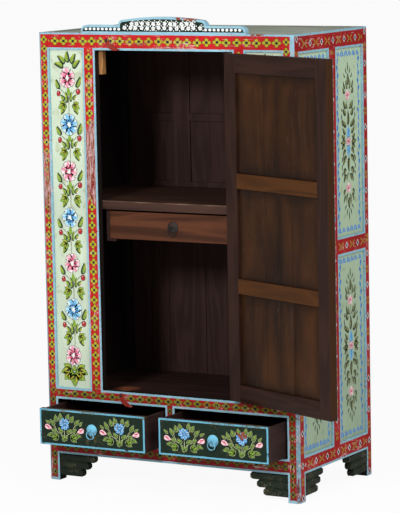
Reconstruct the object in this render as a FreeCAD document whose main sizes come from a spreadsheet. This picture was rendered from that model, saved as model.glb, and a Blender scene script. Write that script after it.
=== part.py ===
import FreeCAD, Part
import Sketcher
import math
import os

# Painted cupboard with one door, two drawers under it and a small drawer inside.
# Right-handed frame in millimetres: X to the right, Y to the back, Z up.
# The origin is on the floor under the middle of the frame.

doc = FreeCAD.newDocument("painted_cabinet")
sheet = doc.addObject("Spreadsheet::Sheet", "Sizes")

# Driving dimensions, in millimetres and degrees
DIMENSIONS = [
    # Carcass frame
    ("carcass_width", 952.0),
    ("carcass_depth", 525.0),
    ("carcass_height", 1500.0),
    ("post_width", 42.0),
    ("post_chamfer", 10.0),
    ("frame_thickness", 27.0),
    ("panel_thickness", 10.0),
    ("panel_recess", 7.0),
    ("top_rail_height", 56.0),
    ("middle_rail_top", 318.0),
    ("middle_rail_height", 40.0),
    ("bottom_rail_low", 92.0),
    ("bottom_rail_height", 51.0),
    ("opening_width", 514.0),
    ("mullion_width", 48.0),
    ("divider_width", 34.0),
    ("side_top_rail_height", 62.0),
    ("side_middle_rail_low", 762.0),
    ("side_middle_rail_height", 62.0),
    ("side_bottom_rail_height", 58.0),
    ("side_stile_width", 58.0),
    ("side_stile_shift", 5.0),
    ("back_shelf_rail_low", 905.0),
    ("back_upper_rail_low", 1173.0),
    ("back_upper_rail_height", 26.0),
    ("back_rail_height", 60.0),
    ("back_stile_width", 64.0),
    ("back_stile_spacing", 448.0),
    ("back_board_thickness", 14.0),
    ("back_board_setback", 7.0),
    ("back_board_gap", 2.0),
    # Horizontal boards
    ("board_thickness", 18.0),
    ("board_gap", 1.0),
    ("top_sink", 2.0),
    ("shelf_top", 948.0),
    ("shelf_thickness", 29.0),
    ("shelf_setback", 2.5),
    ("floor_top", 302.0),
    ("cleat_size", 20.0),
    # Crest on the top rail
    ("crest_thickness", 22.0),
    ("crest_width", 614.0),
    ("crest_end_radius", 20.0),
    ("crest_step_height", 25.5),
    ("crest_brow_width", 328.0),
    ("crest_brow_radius", 18.0),
    ("crest_height", 53.0),
    # Stepped foot brackets
    ("bracket_thickness", 24.0),
    ("bracket_floor_gap", 17.0),
    ("bracket_groove_depth", 4.5),
    ("bracket_nose_rise", 7.0),
    ("bracket_nose_reach", 6.0),
    ("front_bracket_length", 138.0),
    ("front_bracket_step", 23.5),
    ("side_bracket_length", 122.0),
    ("side_bracket_step", 19.0),
    ("rear_bracket_length", 136.0),
    ("rear_bracket_step", 16.5),
    # Door
    ("door_thickness", 26.5),
    ("door_gap", 3.0),
    ("door_foot_gap", 9.0),
    ("door_stile_width", 54.0),
    ("door_top_rail_height", 60.0),
    ("door_middle_rail_height", 48.0),
    ("door_bottom_rail_height", 56.0),
    ("door_upper_rail_low", 1015.0),
    ("door_lower_rail_low", 678.0),
    ("door_panel_thickness", 10.0),
    ("door_panel_recess", 8.0),
    ("door_open_angle", 157.0),
    # Butt hinges
    ("hinge_gap", 2.6),
    ("hinge_setoff", 4.4),
    ("hinge_length", 80.0),
    ("hinge_leaf_width", 22.0),
    ("hinge_leaf_thickness", 1.0),
    ("knuckle_radius", 4.0),
    ("knuckle_gap", 0.4),
    ("pin_radius", 1.5),
    ("pin_clearance", 0.05),
    ("pin_head_radius", 2.6),
    ("pin_head_height", 2.0),
    ("hinge_inset", 122.0),
    # Door stop
    ("stop_width", 22.0),
    ("stop_overlap", 15.0),
    ("stop_drop", 81.0),
    ("stop_rise", 14.0),
    ("stop_thickness", 18.0),
    # Drawers under the door
    ("drawer_side_gap", 7.0),
    ("drawer_floor_gap", 4.0),
    ("drawer_height", 120.0),
    ("drawer_front_thickness", 20.0),
    ("drawer_wall", 12.0),
    ("drawer_depth", 470.0),
    ("drawer_bottom_thickness", 8.0),
    ("drawer_bottom_lift", 6.0),
    ("drawer_side_drop", 4.0),
    ("left_drawer_out", 124.0),
    ("right_drawer_out", 115.0),
    ("runner_height", 22.0),
    ("runner_bearing", 22.0),
    ("runner_clearance", 0.3),
    ("guide_clearance", 1.0),
    ("guide_height", 30.0),
    # Drawer inside, under the shelf
    ("inner_drawer_width", 480.0),
    ("inner_drawer_low", 821.0),
    ("inner_drawer_height", 91.0),
    ("inner_drawer_depth", 400.0),
    ("inner_drawer_setback", 44.5),
    ("hanger_thickness", 20.0),
    ("hanger_setback", 12.0),
    ("ledge_thickness", 10.0),
    ("ledge_bearing", 15.0),
    # Ring pulls
    ("rosette_radius", 20.0),
    ("rosette_crown_radius", 11.0),
    ("rosette_height", 5.0),
    ("rosette_rim_height", 1.8),
    ("eye_length", 3.0),
    ("eye_radius", 4.4),
    ("eye_reach", 11.0),
    ("eye_neck_width", 4.0),
    ("eye_clearance", 0.4),
    ("ring_radius", 14.0),
    ("ring_wire_radius", 1.8),
    ("ring_corner_share", 0.55),
    ("door_ring_height", 963.0),
    # Turn hooks
    ("hook_thickness", 6.0),
    ("hook_head_radius", 7.0),
    ("hook_length", 55.0),
    ("hook_tip_offset", 14.0),
    ("hook_belly", 14.0),
    ("hook_throat", 6.0),
    ("hook_face_gap", 0.5),
    ("nail_radius", 2.0),
    ("nail_head_radius", 5.0),
    ("nail_crown_radius", 2.5),
    ("nail_head_height", 2.0),
    ("nail_depth", 15.0),
    ("nail_clearance", 0.05),
    ("top_hook_across", 207.0),
    ("top_hook_drop", 24.0),
    ("top_hook_angle", 45.0),
    ("bottom_hook_across", 184.0),
    ("bottom_hook_drop", 11.5),
    ("bottom_hook_angle", 38.0),
]


class Size:
    """A size that knows its number and the sheet expression it comes from."""

    def __init__(self, value, text):
        self.value = float(value)
        self.text = text

    def __add__(self, other):
        other = as_size(other)
        return Size(self.value + other.value, f"({self.text} + {other.text})")

    def __radd__(self, other):
        return as_size(other) + self

    def __sub__(self, other):
        other = as_size(other)
        return Size(self.value - other.value, f"({self.text} - {other.text})")

    def __rsub__(self, other):
        return as_size(other) - self

    def __mul__(self, other):
        other = as_size(other)
        return Size(self.value * other.value, f"({self.text} * {other.text})")

    def __rmul__(self, other):
        return as_size(other) * self

    def __truediv__(self, other):
        other = as_size(other)
        return Size(self.value / other.value, f"({self.text} / {other.text})")

    def __neg__(self):
        return self * -1


def as_size(number):
    if isinstance(number, Size):
        return number
    return Size(number, f"({float(number)})")


def cosine(angle):
    return Size(math.cos(math.radians(angle.value)), f"cos({angle.text} * 1 deg)")


def sine(angle):
    return Size(math.sin(math.radians(angle.value)), f"sin({angle.text} * 1 deg)")


def root(square):
    return Size(math.sqrt(square.value), f"sqrt({square.text})")


size = {}
for line, (alias, number) in enumerate(DIMENSIONS, start=1):
    sheet.set(f"A{line}", alias.replace("_", " "))
    sheet.set(f"B{line}", str(number))
    sheet.setAlias(f"B{line}", alias)
    size[alias] = Size(number, f"Sizes.{alias}")
doc.recompute()


# Places that many pieces share
outer_x = size["carcass_width"] / 2
outer_y = size["carcass_depth"] / 2
front = -outer_y
frame_back = front + size["frame_thickness"]
side_inside = outer_x - size["frame_thickness"]
back_inside = outer_y - size["frame_thickness"]
post_x = outer_x - size["post_width"]
post_y = outer_y - size["post_width"]
height = size["carcass_height"]
opening_x = size["opening_width"] / 2
mullion_x = opening_x + size["mullion_width"]
top_rail_low = height - size["top_rail_height"]
middle_top = size["middle_rail_top"]
middle_low = middle_top - size["middle_rail_height"]
bottom_low = size["bottom_rail_low"]
bottom_top = bottom_low + size["bottom_rail_height"]
divider_x = size["divider_width"] / 2
side_bottom_top = bottom_low + size["side_bottom_rail_height"]
shelf_low = size["shelf_top"] - size["shelf_thickness"]
floor_low = size["floor_top"] - size["board_thickness"]
hinge_x = opening_x - size["hinge_gap"] / 2
hinge_y = front - size["hinge_setoff"]
swing = size["door_open_angle"]
hinge_low = {
    "lower": middle_top + size["hinge_inset"],
    "upper": top_rail_low - size["hinge_inset"] - size["hinge_length"],
}
hook_height = {
    "top": height - size["top_hook_drop"],
    "bottom": middle_top - size["bottom_hook_drop"],
}

# How far each moving body stands from its shut place at rest
PULLED_OUT = {
    "left_drawer": size["left_drawer_out"],
    "right_drawer": size["right_drawer_out"],
}


def bind(obj, name, value):
    """Tie one property of an object to the sheet."""
    obj.setExpression(name, as_size(value).text)


def carry(obj, carrier=None, at=(0, 0, 0)):
    """Place a piece drawn in the shut position where its carrier is at rest."""
    x, y, z = (as_size(value) for value in at)
    if carrier == "door":
        across = x - hinge_x
        along = y - hinge_y
        x = hinge_x + across * cosine(swing) - along * sine(swing)
        y = hinge_y + across * sine(swing) + along * cosine(swing)
        turned = FreeCAD.Rotation(FreeCAD.Vector(0, 0, 1), swing.value)
        obj.Placement = FreeCAD.Placement(FreeCAD.Vector(), turned)
        bind(obj, "Placement.Rotation.Angle", swing)
    elif carrier in PULLED_OUT:
        y = y - PULLED_OUT[carrier]
    bind(obj, "Placement.Base.x", x)
    bind(obj, "Placement.Base.y", y)
    bind(obj, "Placement.Base.z", z)
    return obj


def block(name, x, y, z, carrier=None):
    """A squared piece of wood between two faces on each axis."""
    obj = doc.addObject("Part::Box", name)
    low = []
    for side, ends in (("Length", x), ("Width", y), ("Height", z)):
        first, last = sorted((as_size(end) for end in ends), key=lambda end: end.value)
        bind(obj, side, last - first)
        low.append(first)
    return carry(obj, carrier, low)


def drum(name, centre, radius, length, axis):
    """A cylinder from its centre point along an axis, with a turn that lays it there."""
    obj = doc.addObject("Part::Cylinder", name)
    bind(obj, "Radius", radius)
    bind(obj, "Height", length)
    turn = FreeCAD.Rotation(FreeCAD.Vector(0, 0, 1), FreeCAD.Vector(*axis))
    obj.Placement = FreeCAD.Placement(FreeCAD.Vector(), turn)
    for letter, value in zip("xyz", centre):
        bind(obj, f"Placement.Base.{letter}", value)
    return obj


def cone(name, centre, wide, narrow, tall):
    """A low cone that stands out to the front; its sizes are named in the sheet."""
    obj = doc.addObject("Part::Cone", name)
    bind(obj, "Radius1", size[wide])
    bind(obj, "Radius2", size[narrow])
    bind(obj, "Height", size[tall])
    facing = FreeCAD.Rotation(FreeCAD.Vector(1, 0, 0), 90)
    obj.Placement = FreeCAD.Placement(FreeCAD.Vector(), facing)
    for letter, value in zip("xyz", centre):
        bind(obj, f"Placement.Base.{letter}", value)
    return obj


def fused(name, shapes, carrier=None):
    obj = doc.addObject("Part::MultiFuse", name)
    obj.Shapes = shapes
    return carry(obj, carrier)


def cut(name, base, tool, carrier=None):
    obj = doc.addObject("Part::Cut", name)
    obj.Base = base
    obj.Tool = tool
    return carry(obj, carrier)


def group(name, shapes, carrier=None):
    """Several like pieces that stay separate solids and share one name."""
    obj = doc.addObject("Part::Compound", name)
    obj.Links = shapes
    return carry(obj, carrier)


subparts = []


def subpart(obj, label):
    obj.Label = label
    subparts.append(obj)
    return obj


def plane_of(body, role):
    return next(item for item in body.Origin.OriginFeatures if item.Role == role)


def outline(body, name, role, start, edges):
    """A closed sketch; each edge is (end point, None) or (end point, (arc centre, clockwise))."""
    sketch = body.newObject("Sketcher::SketchObject", name)
    sketch.AttachmentSupport = [(plane_of(body, role), "")]
    sketch.MapMode = "FlatFace"
    corners = [start] + [end for end, arc in edges]
    flat = [FreeCAD.Vector(as_size(u).value, as_size(w).value, 0) for u, w in corners]
    for index, (end, arc) in enumerate(edges):
        first, last = flat[index], flat[index + 1]
        if arc is None:
            sketch.addGeometry(Part.LineSegment(first, last))
        else:
            centre, clockwise = arc
            middle = FreeCAD.Vector(as_size(centre[0]).value, as_size(centre[1]).value, 0)
            sketch.addGeometry(arc_between(first, last, middle, clockwise))
    for index, (end, arc) in enumerate(edges):
        pin_edge(sketch, index, start if index == 0 else edges[index - 1][0], end, arc)
    return sketch


def arc_between(first, last, centre, clockwise):
    """The arc round a centre from first to last, turning the stated way."""
    radius = (first - centre).Length
    start = math.atan2(first.y - centre.y, first.x - centre.x)
    stop = math.atan2(last.y - centre.y, last.x - centre.x)
    if clockwise:
        start, stop = stop, start
    if stop < start:
        stop += 2 * math.pi
    circle = Part.Circle(centre, FreeCAD.Vector(0, 0, 1), radius)
    return Part.ArcOfCircle(circle, start, stop)


def pin_edge(sketch, index, start, end, arc):
    """Fix an edge's start point, and an arc's centre, to the sheet."""
    first, centre_point = 1, 3
    if arc is not None and arc[1]:
        first = 2
    for kind, value in (("DistanceX", start[0]), ("DistanceY", start[1])):
        value = as_size(value)
        number = sketch.addConstraint(Sketcher.Constraint(kind, index, first, value.value))
        sketch.setExpression(f"Constraints[{number}]", value.text)
    last = 3 - first
    skipped = None
    if arc is not None:
        across = abs(as_size(end[0]).value - as_size(arc[0][0]).value)
        along = abs(as_size(end[1]).value - as_size(arc[0][1]).value)
        skipped = "DistanceY" if along > across else "DistanceX"
    for kind, value in (("DistanceX", end[0]), ("DistanceY", end[1])):
        if kind == skipped:
            continue
        value = as_size(value)
        number = sketch.addConstraint(Sketcher.Constraint(kind, index, last, value.value))
        sketch.setExpression(f"Constraints[{number}]", value.text)
    if arc is not None:
        for kind, value in (("DistanceX", arc[0][0]), ("DistanceY", arc[0][1])):
            value = as_size(value)
            number = sketch.addConstraint(
                Sketcher.Constraint(kind, index, centre_point, value.value)
            )
            sketch.setExpression(f"Constraints[{number}]", value.text)


def padded(body, sketch, length, reverse=False):
    pad = body.newObject("PartDesign::Pad", f"{body.Name}_pad")
    pad.Profile = sketch
    pad.Reversed = reverse
    bind(pad, "Length", length)
    body.Tip = pad
    return pad


# Corner posts, squared and chamfered on the outer corner
def post(label, side, end):
    body = doc.addObject("PartDesign::Body", label)
    stock = body.newObject("PartDesign::AdditiveBox", f"{label}_stock")
    bind(stock, "Length", size["post_width"])
    bind(stock, "Width", size["post_width"])
    bind(stock, "Height", height)
    bind(stock, "Placement.Base.x", outer_x * side - size["post_width"] * (side + 1) / 2)
    bind(stock, "Placement.Base.y", outer_y * end - size["post_width"] * (end + 1) / 2)
    doc.recompute()
    corner = FreeCAD.Vector(side * outer_x.value, end * outer_y.value, height.value / 2)
    edges = stock.Shape.Edges
    nearest = min(range(len(edges)), key=lambda item: edges[item].CenterOfMass.distanceToPoint(corner))
    chamfer = body.newObject("PartDesign::Chamfer", f"{label}_chamfer")
    chamfer.Base = (stock, [f"Edge{nearest + 1}"])
    bind(chamfer, "Size", size["post_chamfer"])
    body.Tip = chamfer
    return subpart(body, label)


posts = [
    post("front_left_post", -1, -1),
    post("front_right_post", 1, -1),
    post("back_left_post", -1, 1),
    post("back_right_post", 1, 1),
]
all_posts = group("post_corners", posts)


# Front frame
front_face = (front, frame_back)


def nail_hole(word):
    """The hole in a rail for the nail that a turn hook hangs on."""
    across = -size[f"{word}_hook_across"]
    radius = size["nail_radius"] + size["nail_clearance"]
    centre = (across, front, hook_height[word])
    return drum(f"{word}_nail_hole", centre, radius, size["nail_depth"] + size["nail_clearance"], (0, 1, 0))


def front_frame():
    between_posts = (-post_x, post_x)
    top_stock = block("front_top", between_posts, front_face, (top_rail_low, height))
    middle_stock = block("front_middle", between_posts, front_face, (middle_low, middle_top))
    subpart(cut("front_top_bored", top_stock, nail_hole("top")), "front_top_rail")
    subpart(cut("front_middle_bored", middle_stock, nail_hole("bottom")), "front_middle_rail")
    subpart(block("front_bottom", between_posts, front_face, (bottom_low, bottom_top)), "front_bottom_rail")
    subpart(block("divider", (-divider_x, divider_x), front_face, (bottom_top, middle_low)), "drawer_divider")
    panel_face = (front + size["panel_recess"], front + size["panel_recess"] + size["panel_thickness"])
    for word, side in (("left", -1), ("right", 1)):
        mullion_span = (opening_x * side, mullion_x * side)
        panel_span = (mullion_x * side, post_x * side)
        upright = (middle_top, top_rail_low)
        subpart(block(f"{word}_mullion_stock", mullion_span, front_face, upright), f"{word}_mullion")
        subpart(block(f"front_{word}_panel_stock", panel_span, panel_face, upright), f"front_{word}_panel")


front_frame()


# Side frames: three rails, a middle stile and four panels on each side
def side_frame(word, side):
    skin = (side_inside * side, outer_x * side)
    panel_out = (outer_x - size["panel_recess"]) * side
    panel_skin = (panel_out, panel_out - size["panel_thickness"] * side)
    top_low = height - size["side_top_rail_height"]
    middle_low_edge = size["side_middle_rail_low"]
    middle_top_edge = middle_low_edge + size["side_middle_rail_height"]
    stile_front = size["side_stile_shift"] - size["side_stile_width"] / 2
    stile_back = size["side_stile_shift"] + size["side_stile_width"] / 2
    bays = {"front": (-post_y, stile_front), "rear": (stile_back, post_y)}
    rails = [
        block(f"{word}_side_top", skin, (-post_y, post_y), (top_low, height)),
        block(f"{word}_side_bottom", skin, (-post_y, post_y), (bottom_low, side_bottom_top)),
    ]
    panels = []
    for bay, span in bays.items():
        rails.append(block(f"{word}_side_middle_{bay}", skin, span, (middle_low_edge, middle_top_edge)))
        panels.append(block(f"{word}_low_{bay}_panel", panel_skin, span, (side_bottom_top, middle_low_edge)))
        panels.append(block(f"{word}_high_{bay}_panel", panel_skin, span, (middle_top_edge, top_low)))
    stile = block(f"{word}_stile_stock", skin, (stile_front, stile_back), (side_bottom_top, top_low))
    subpart(group(f"{word}_rails", rails), f"{word}_side_rails")
    subpart(stile, f"{word}_side_stile")
    subpart(group(f"{word}_panels", panels), f"{word}_side_panels")


side_frame("left", -1)
side_frame("right", 1)


# Back: a panelled frame above the shelf and upright boards below it
def back_frame():
    skin = (back_inside, outer_y)
    top_low = height - size["back_rail_height"]
    shelf_rail_low = size["back_shelf_rail_low"]
    shelf_rail_top = shelf_rail_low + size["back_rail_height"]
    upper_low = size["back_upper_rail_low"]
    upper_top = upper_low + size["back_upper_rail_height"]
    stile_inner = size["back_stile_spacing"] / 2 - size["back_stile_width"] / 2
    stile_outer = size["back_stile_spacing"] / 2 + size["back_stile_width"] / 2
    bays = {
        "left": (-post_x, -stile_outer),
        "centre": (-stile_inner, stile_inner),
        "right": (stile_outer, post_x),
    }
    between_posts = (-post_x, post_x)
    rails = [
        block("back_top", between_posts, skin, (top_low, height)),
        block("back_shelf", between_posts, skin, (shelf_rail_low, shelf_rail_top)),
        block("back_bottom", between_posts, skin, (bottom_low, side_bottom_top)),
    ]
    stiles = [
        block("back_stile_left", (-stile_outer, -stile_inner), skin, (shelf_rail_top, top_low)),
        block("back_stile_right", (stile_inner, stile_outer), skin, (shelf_rail_top, top_low)),
    ]
    board_inside = outer_y - size["back_board_setback"] - size["back_board_thickness"]
    board_skin = (board_inside, outer_y - size["back_board_setback"])
    panels = []
    for bay, span in bays.items():
        rails.append(block(f"back_upper_{bay}", span, skin, (upper_low, upper_top)))
        panels.append(block(f"back_low_panel_{bay}", span, board_skin, (shelf_rail_top, upper_low)))
        panels.append(block(f"back_high_panel_{bay}", span, board_skin, (upper_top, top_low)))
    subpart(group("back_frame_set", rails + stiles), "back_frame")
    subpart(group("back_panel_set", panels), "back_panels")
    boards = strips("back_board", -post_x, post_x, 6, size["back_board_gap"])
    uprights = [
        block(f"back_board_{number}", span, board_skin, (side_bottom_top, shelf_rail_low))
        for number, span in enumerate(boards, start=1)
    ]
    subpart(group("back_board_set", uprights), "back_boards")


def strips(name, low, high, count, gap):
    """Split a width into equal boards with a gap between them."""
    width = (high - low - gap * (count - 1)) / count
    return [(low + (width + gap) * item, low + (width + gap) * item + width) for item in range(count)]


back_frame()


# Boards that lie flat, notched round the posts, and the battens that carry them
def lying_boards(name, label, low, high, front_edge, count):
    spans = strips(name, front_edge, back_inside, count, size["board_gap"])
    boards = [
        block(f"{name}_{number}", (-side_inside, side_inside), span, (low, high))
        for number, span in enumerate(spans, start=1)
    ]
    whole = group(f"{name}_set", boards)
    return subpart(cut(f"{name}_notched", whole, all_posts), label)


def flat_boards():
    top = height - size["top_sink"]
    lying_boards("top_board", "top_boards", top - size["board_thickness"], top, frame_back, 3)
    shelf_front = frame_back + size["shelf_setback"]
    lying_boards("shelf_board", "shelf_boards", shelf_low, size["shelf_top"], shelf_front, 3)
    lying_boards("floor_board", "floor_boards", floor_low, size["floor_top"], frame_back, 3)
    cleat = size["cleat_size"]
    under_top = (top - size["board_thickness"] - cleat, top - size["board_thickness"])
    cleats = [
        block("top_cleat_front", (-post_x, post_x), (frame_back, frame_back + cleat), under_top),
        block("top_cleat_back", (-post_x, post_x), (back_inside - cleat, back_inside), under_top),
    ]
    for word, side in (("left", -1), ("right", 1)):
        batten = (side_inside * side, (side_inside - cleat) * side)
        for level, top_of_batten in (("shelf", shelf_low), ("floor", floor_low)):
            upright = (top_of_batten - cleat, top_of_batten)
            cleats.append(block(f"{level}_cleat_{word}", batten, (-post_y, post_y), upright))
    subpart(group("cleat_set", cleats), "cleats")


flat_boards()


# Shaped crest on the front edge of the top
def crest():
    body = doc.addObject("PartDesign::Body", "crest")
    base = size["crest_width"] / 2
    end_radius = size["crest_end_radius"]
    step = base - end_radius
    brow = size["crest_brow_width"] / 2
    turn = size["crest_brow_radius"]
    low = size["crest_step_height"]
    high = size["crest_height"]
    # A shallow arch runs over the middle and flows into the two small arcs at its ends.
    inner = brow - turn
    rise = high - low
    arch = (inner * inner + rise * rise - turn * turn) / ((rise - turn) * 2)
    stretch = arch / (arch - turn)
    meet_x = inner * stretch
    meet_z = high - arch + (low - high + arch) * stretch
    edges = [
        ((base, 0), None),
        ((base, low - end_radius), None),
        ((step, low), ((step, low - end_radius), False)),
        ((brow, low), None),
        ((meet_x, meet_z), ((inner, low), False)),
        ((-meet_x, meet_z), ((0, high - arch), False)),
        ((-brow, low), ((-inner, low), False)),
        ((-step, low), None),
        ((-base, low - end_radius), ((-step, low - end_radius), False)),
        ((-base, 0), None),
    ]
    sketch = outline(body, "crest_outline", "XZ_Plane", (-base, 0), edges)
    padded(body, sketch, size["crest_thickness"], reverse=True)
    bind(body, "Placement.Base.y", front)
    bind(body, "Placement.Base.z", height)
    subpart(body, "crest")


crest()


# Foot brackets: three rolls, each shorter than the one above, with grooves between them
LAYERS = 3


def bracket_outline(body, name, role, side, kind):
    top = bottom_low
    layer = (bottom_low - size["bracket_floor_gap"]) / LAYERS
    rise = size["bracket_nose_rise"]
    reach = size["bracket_nose_reach"]
    edges = []
    for number in range(LAYERS):
        length = size[f"{kind}_bracket_length"] - size[f"{kind}_bracket_step"] * number
        high = top - layer * number
        low = high - layer
        edges.append((((length - reach) * side, high), None))
        edges.append(((length * side, high - rise), None))
        edges.append(((length * side, low + rise), None))
        edges.append((((length - reach) * side, low), None))
    edges.append(((0, top - layer * LAYERS), None))
    edges.append(((0, top), None))
    return outline(body, name, role, (0, top), edges)


def roll_grooves(body, name, role, face, outward):
    """Waste in front of the rolls: a sharp groove at the foot and the head of each."""
    deep = size["bracket_groove_depth"]
    layer = (bottom_low - size["bracket_floor_gap"]) / LAYERS
    clear = face + deep * outward
    inside = face - deep * outward
    edges = [((inside, bottom_low), None)]
    for number in range(LAYERS):
        high = bottom_low - layer * number
        low = high - layer
        edges.append(((face, high - deep), None))
        edges.append(((face, low + deep), None))
        edges.append(((inside, low), None))
    edges.append(((clear, bottom_low - layer * LAYERS), None))
    edges.append(((clear, bottom_low), None))
    sketch = outline(body, f"{name}_waste", role, (clear, bottom_low), edges)
    pocket = body.newObject("PartDesign::Pocket", f"{name}_grooves")
    pocket.Profile = sketch
    pocket.Type = "ThroughAll"
    pocket.Midplane = True
    body.Tip = pocket


def bracket(name, role, side, kind, corner, face, outward):
    """A bracket whose outline lies in one plane and whose rolls show on one face."""
    body = doc.addObject("PartDesign::Body", name)
    sketch = bracket_outline(body, f"{name}_outline", role, side, kind)
    padded(body, sketch, size["bracket_thickness"], kind == "front")
    across = "YZ_Plane" if kind == "front" else "XZ_Plane"
    roll_grooves(body, name, across, as_size(face), outward)
    bind(body, "Placement.Base.x", corner[0])
    bind(body, "Placement.Base.y", corner[1])
    return body


def foot_brackets(word, side):
    thick = size["bracket_thickness"]
    skin, face = (outer_x - thick, thick) if side > 0 else (-outer_x, 0)
    corner = (post_x * side, front)
    return [
        bracket(f"{word}_front_bracket", "XZ_Plane", -side, "front", corner, 0, -1),
        bracket(f"{word}_side_bracket", "YZ_Plane", 1, "side", (skin, -post_y), face, side),
        bracket(f"{word}_rear_bracket", "YZ_Plane", -1, "rear", (skin, post_y), face, side),
    ]


all_brackets = foot_brackets("left", -1) + foot_brackets("right", 1)
subpart(group("bracket_set", all_brackets), "foot_brackets")


# Door: two stiles, four rails and three panels of upright boards
def door():
    free_edge = size["door_gap"] - opening_x
    hinge_edge = opening_x - size["hinge_gap"]
    low = middle_top + size["door_foot_gap"]
    high = top_rail_low - size["door_gap"]
    skin = (front, front + size["door_thickness"])
    stile = size["door_stile_width"]
    free_inner = free_edge + stile
    hinge_inner = hinge_edge - stile
    subpart(block("free_stile", (free_edge, free_inner), skin, (low, high), "door"), "door_free_stile")
    subpart(block("hinge_stile", (hinge_inner, hinge_edge), skin, (low, high), "door"), "door_hinge_stile")
    middle = size["door_middle_rail_height"]
    rail_edges = [
        (low, low + size["door_bottom_rail_height"]),
        (size["door_lower_rail_low"], size["door_lower_rail_low"] + middle),
        (size["door_upper_rail_low"], size["door_upper_rail_low"] + middle),
        (high - size["door_top_rail_height"], high),
    ]
    inner = (free_inner, hinge_inner)
    rails = [
        block(f"door_rail_{number}", inner, skin, edges)
        for number, edges in enumerate(rail_edges, start=1)
    ]
    subpart(group("door_rail_set", rails, "door"), "door_rails")
    panel_front = front + size["door_panel_recess"]
    panel_skin = (panel_front, panel_front + size["door_panel_thickness"])
    boards = []
    for number in range(3):
        upright = (rail_edges[number][1], rail_edges[number + 1][0])
        for place, span in enumerate(strips("door_board", free_inner, hinge_inner, 3, size["board_gap"])):
            boards.append(block(f"door_board_{number}_{place}", span, panel_skin, upright))
    subpart(group("door_board_set", boards, "door"), "door_panels")


door()


# Butt hinges: knuckles of the two leaves take turns along one pin
KNUCKLES = 3


def knuckle_spans(low):
    gap = size["knuckle_gap"]
    length = (size["hinge_length"] - gap * (KNUCKLES - 1)) / KNUCKLES
    return [(low + (length + gap) * item, length) for item in range(KNUCKLES)]


def hinge_leaf(name, low, plate_x, own):
    plate_y = (front + size["knuckle_gap"], front + size["hinge_leaf_width"])
    shapes = [block(f"{name}_plate", plate_x, plate_y, (low, low + size["hinge_length"]))]
    for item, (start, length) in enumerate(knuckle_spans(low)):
        if item % 2 == own:
            centre = (hinge_x, hinge_y, start)
            shapes.append(drum(f"{name}_knuckle_{item}", centre, size["knuckle_radius"], length, (0, 0, 1)))
            tab = (start, start + length)
            shapes.append(block(f"{name}_tab_{item}", plate_x, (hinge_y, plate_y[0]), tab))
    whole = fused(f"{name}_whole", shapes)
    radius = size["pin_radius"] + size["pin_clearance"]
    bore = drum(f"{name}_bore", (hinge_x, hinge_y, low), radius, size["hinge_length"], (0, 0, 1))
    return cut(name, whole, bore)


def hinge_pin(name, low):
    head = size["pin_head_height"]
    shapes = [
        drum(f"{name}_shank", (hinge_x, hinge_y, low), size["pin_radius"], size["hinge_length"], (0, 0, 1)),
        drum(f"{name}_foot", (hinge_x, hinge_y, low - head), size["pin_head_radius"], head, (0, 0, 1)),
        drum(
            f"{name}_head",
            (hinge_x, hinge_y, low + size["hinge_length"]),
            size["pin_head_radius"],
            head,
            (0, 0, 1),
        ),
    ]
    return fused(name, shapes)


def hinges():
    leaf = size["hinge_leaf_thickness"]
    hinge_edge = opening_x - size["hinge_gap"]
    frame_leaves = []
    door_leaves = []
    pins = []
    for word in ("lower", "upper"):
        low = hinge_low[word]
        frame_leaves.append(hinge_leaf(f"{word}_frame_leaf", low, (opening_x - leaf, opening_x), 0))
        door_leaves.append(hinge_leaf(f"{word}_door_leaf", low, (hinge_edge, hinge_edge + leaf), 1))
        pins.append(hinge_pin(f"{word}_hinge_pin", low))
    subpart(group("frame_leaf_set", frame_leaves), "frame_hinge_leaves")
    subpart(group("door_leaf_set", door_leaves, "door"), "door_hinge_leaves")
    subpart(group("pin_set", pins), "hinge_pins")


hinges()


# Batten behind the frame that stops the door
def door_stop():
    inner = size["stop_overlap"] - opening_x
    subpart(
        block(
            "stop_batten",
            (inner - size["stop_width"], inner),
            (frame_back, frame_back + size["stop_thickness"]),
            (top_rail_low - size["stop_drop"], top_rail_low + size["stop_rise"]),
        ),
        "door_stop",
    )


door_stop()


# Ring pulls: a domed rosette with an eye, and a ring that hangs in it
RING_SIDES = 24


def ring_pull(word, x, face, z, carrier):
    eye_y = face - size["eye_reach"]
    plate = rosette_plate(f"{word}_plate", (x, face, z))
    half = size["eye_length"] / 2
    neck_half = size["eye_neck_width"] / 2
    neck = block(f"{word}_neck", (x - half, x + half), (eye_y, face), (z - neck_half, z + neck_half))
    eye = drum(f"{word}_eye", (x - half, eye_y, z), size["eye_radius"], size["eye_length"], (1, 0, 0))
    solid = fused(f"{word}_boss", [plate, neck, eye])
    hole_radius = size["ring_wire_radius"] + size["eye_clearance"]
    hole = drum(f"{word}_eye_hole", (x - half * 2, eye_y, z), hole_radius, half * 4, (1, 0, 0))
    subpart(cut(f"{word}_rosette", solid, hole, carrier), f"{word}_pull_rosette")
    ring = forged_ring(f"{word}_ring_wire", (x, eye_y, z - size["ring_radius"]))
    subpart(group(f"{word}_ring_hung", [ring], carrier), f"{word}_pull_ring")


def many_sided(body, name, kind, radius, low, tall):
    """A round of RING_SIDES flat sides, added to the body or taken out of it."""
    prism = body.newObject(f"PartDesign::{kind}Prism", name)
    prism.Polygon = RING_SIDES
    bind(prism, "Circumradius", radius)
    bind(prism, "Height", tall)
    bind(prism, "Placement.Base.z", low)
    prism.recompute(True)
    return prism


def flat_ends(shape):
    """Names of the faces of a shape that look straight up or down its own axis."""
    names = []
    for item, face in enumerate(shape.Faces, start=1):
        if abs(face.normalAt(0, 0).z) > 0.999:
            names.append(f"Face{item}")
    return names


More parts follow.
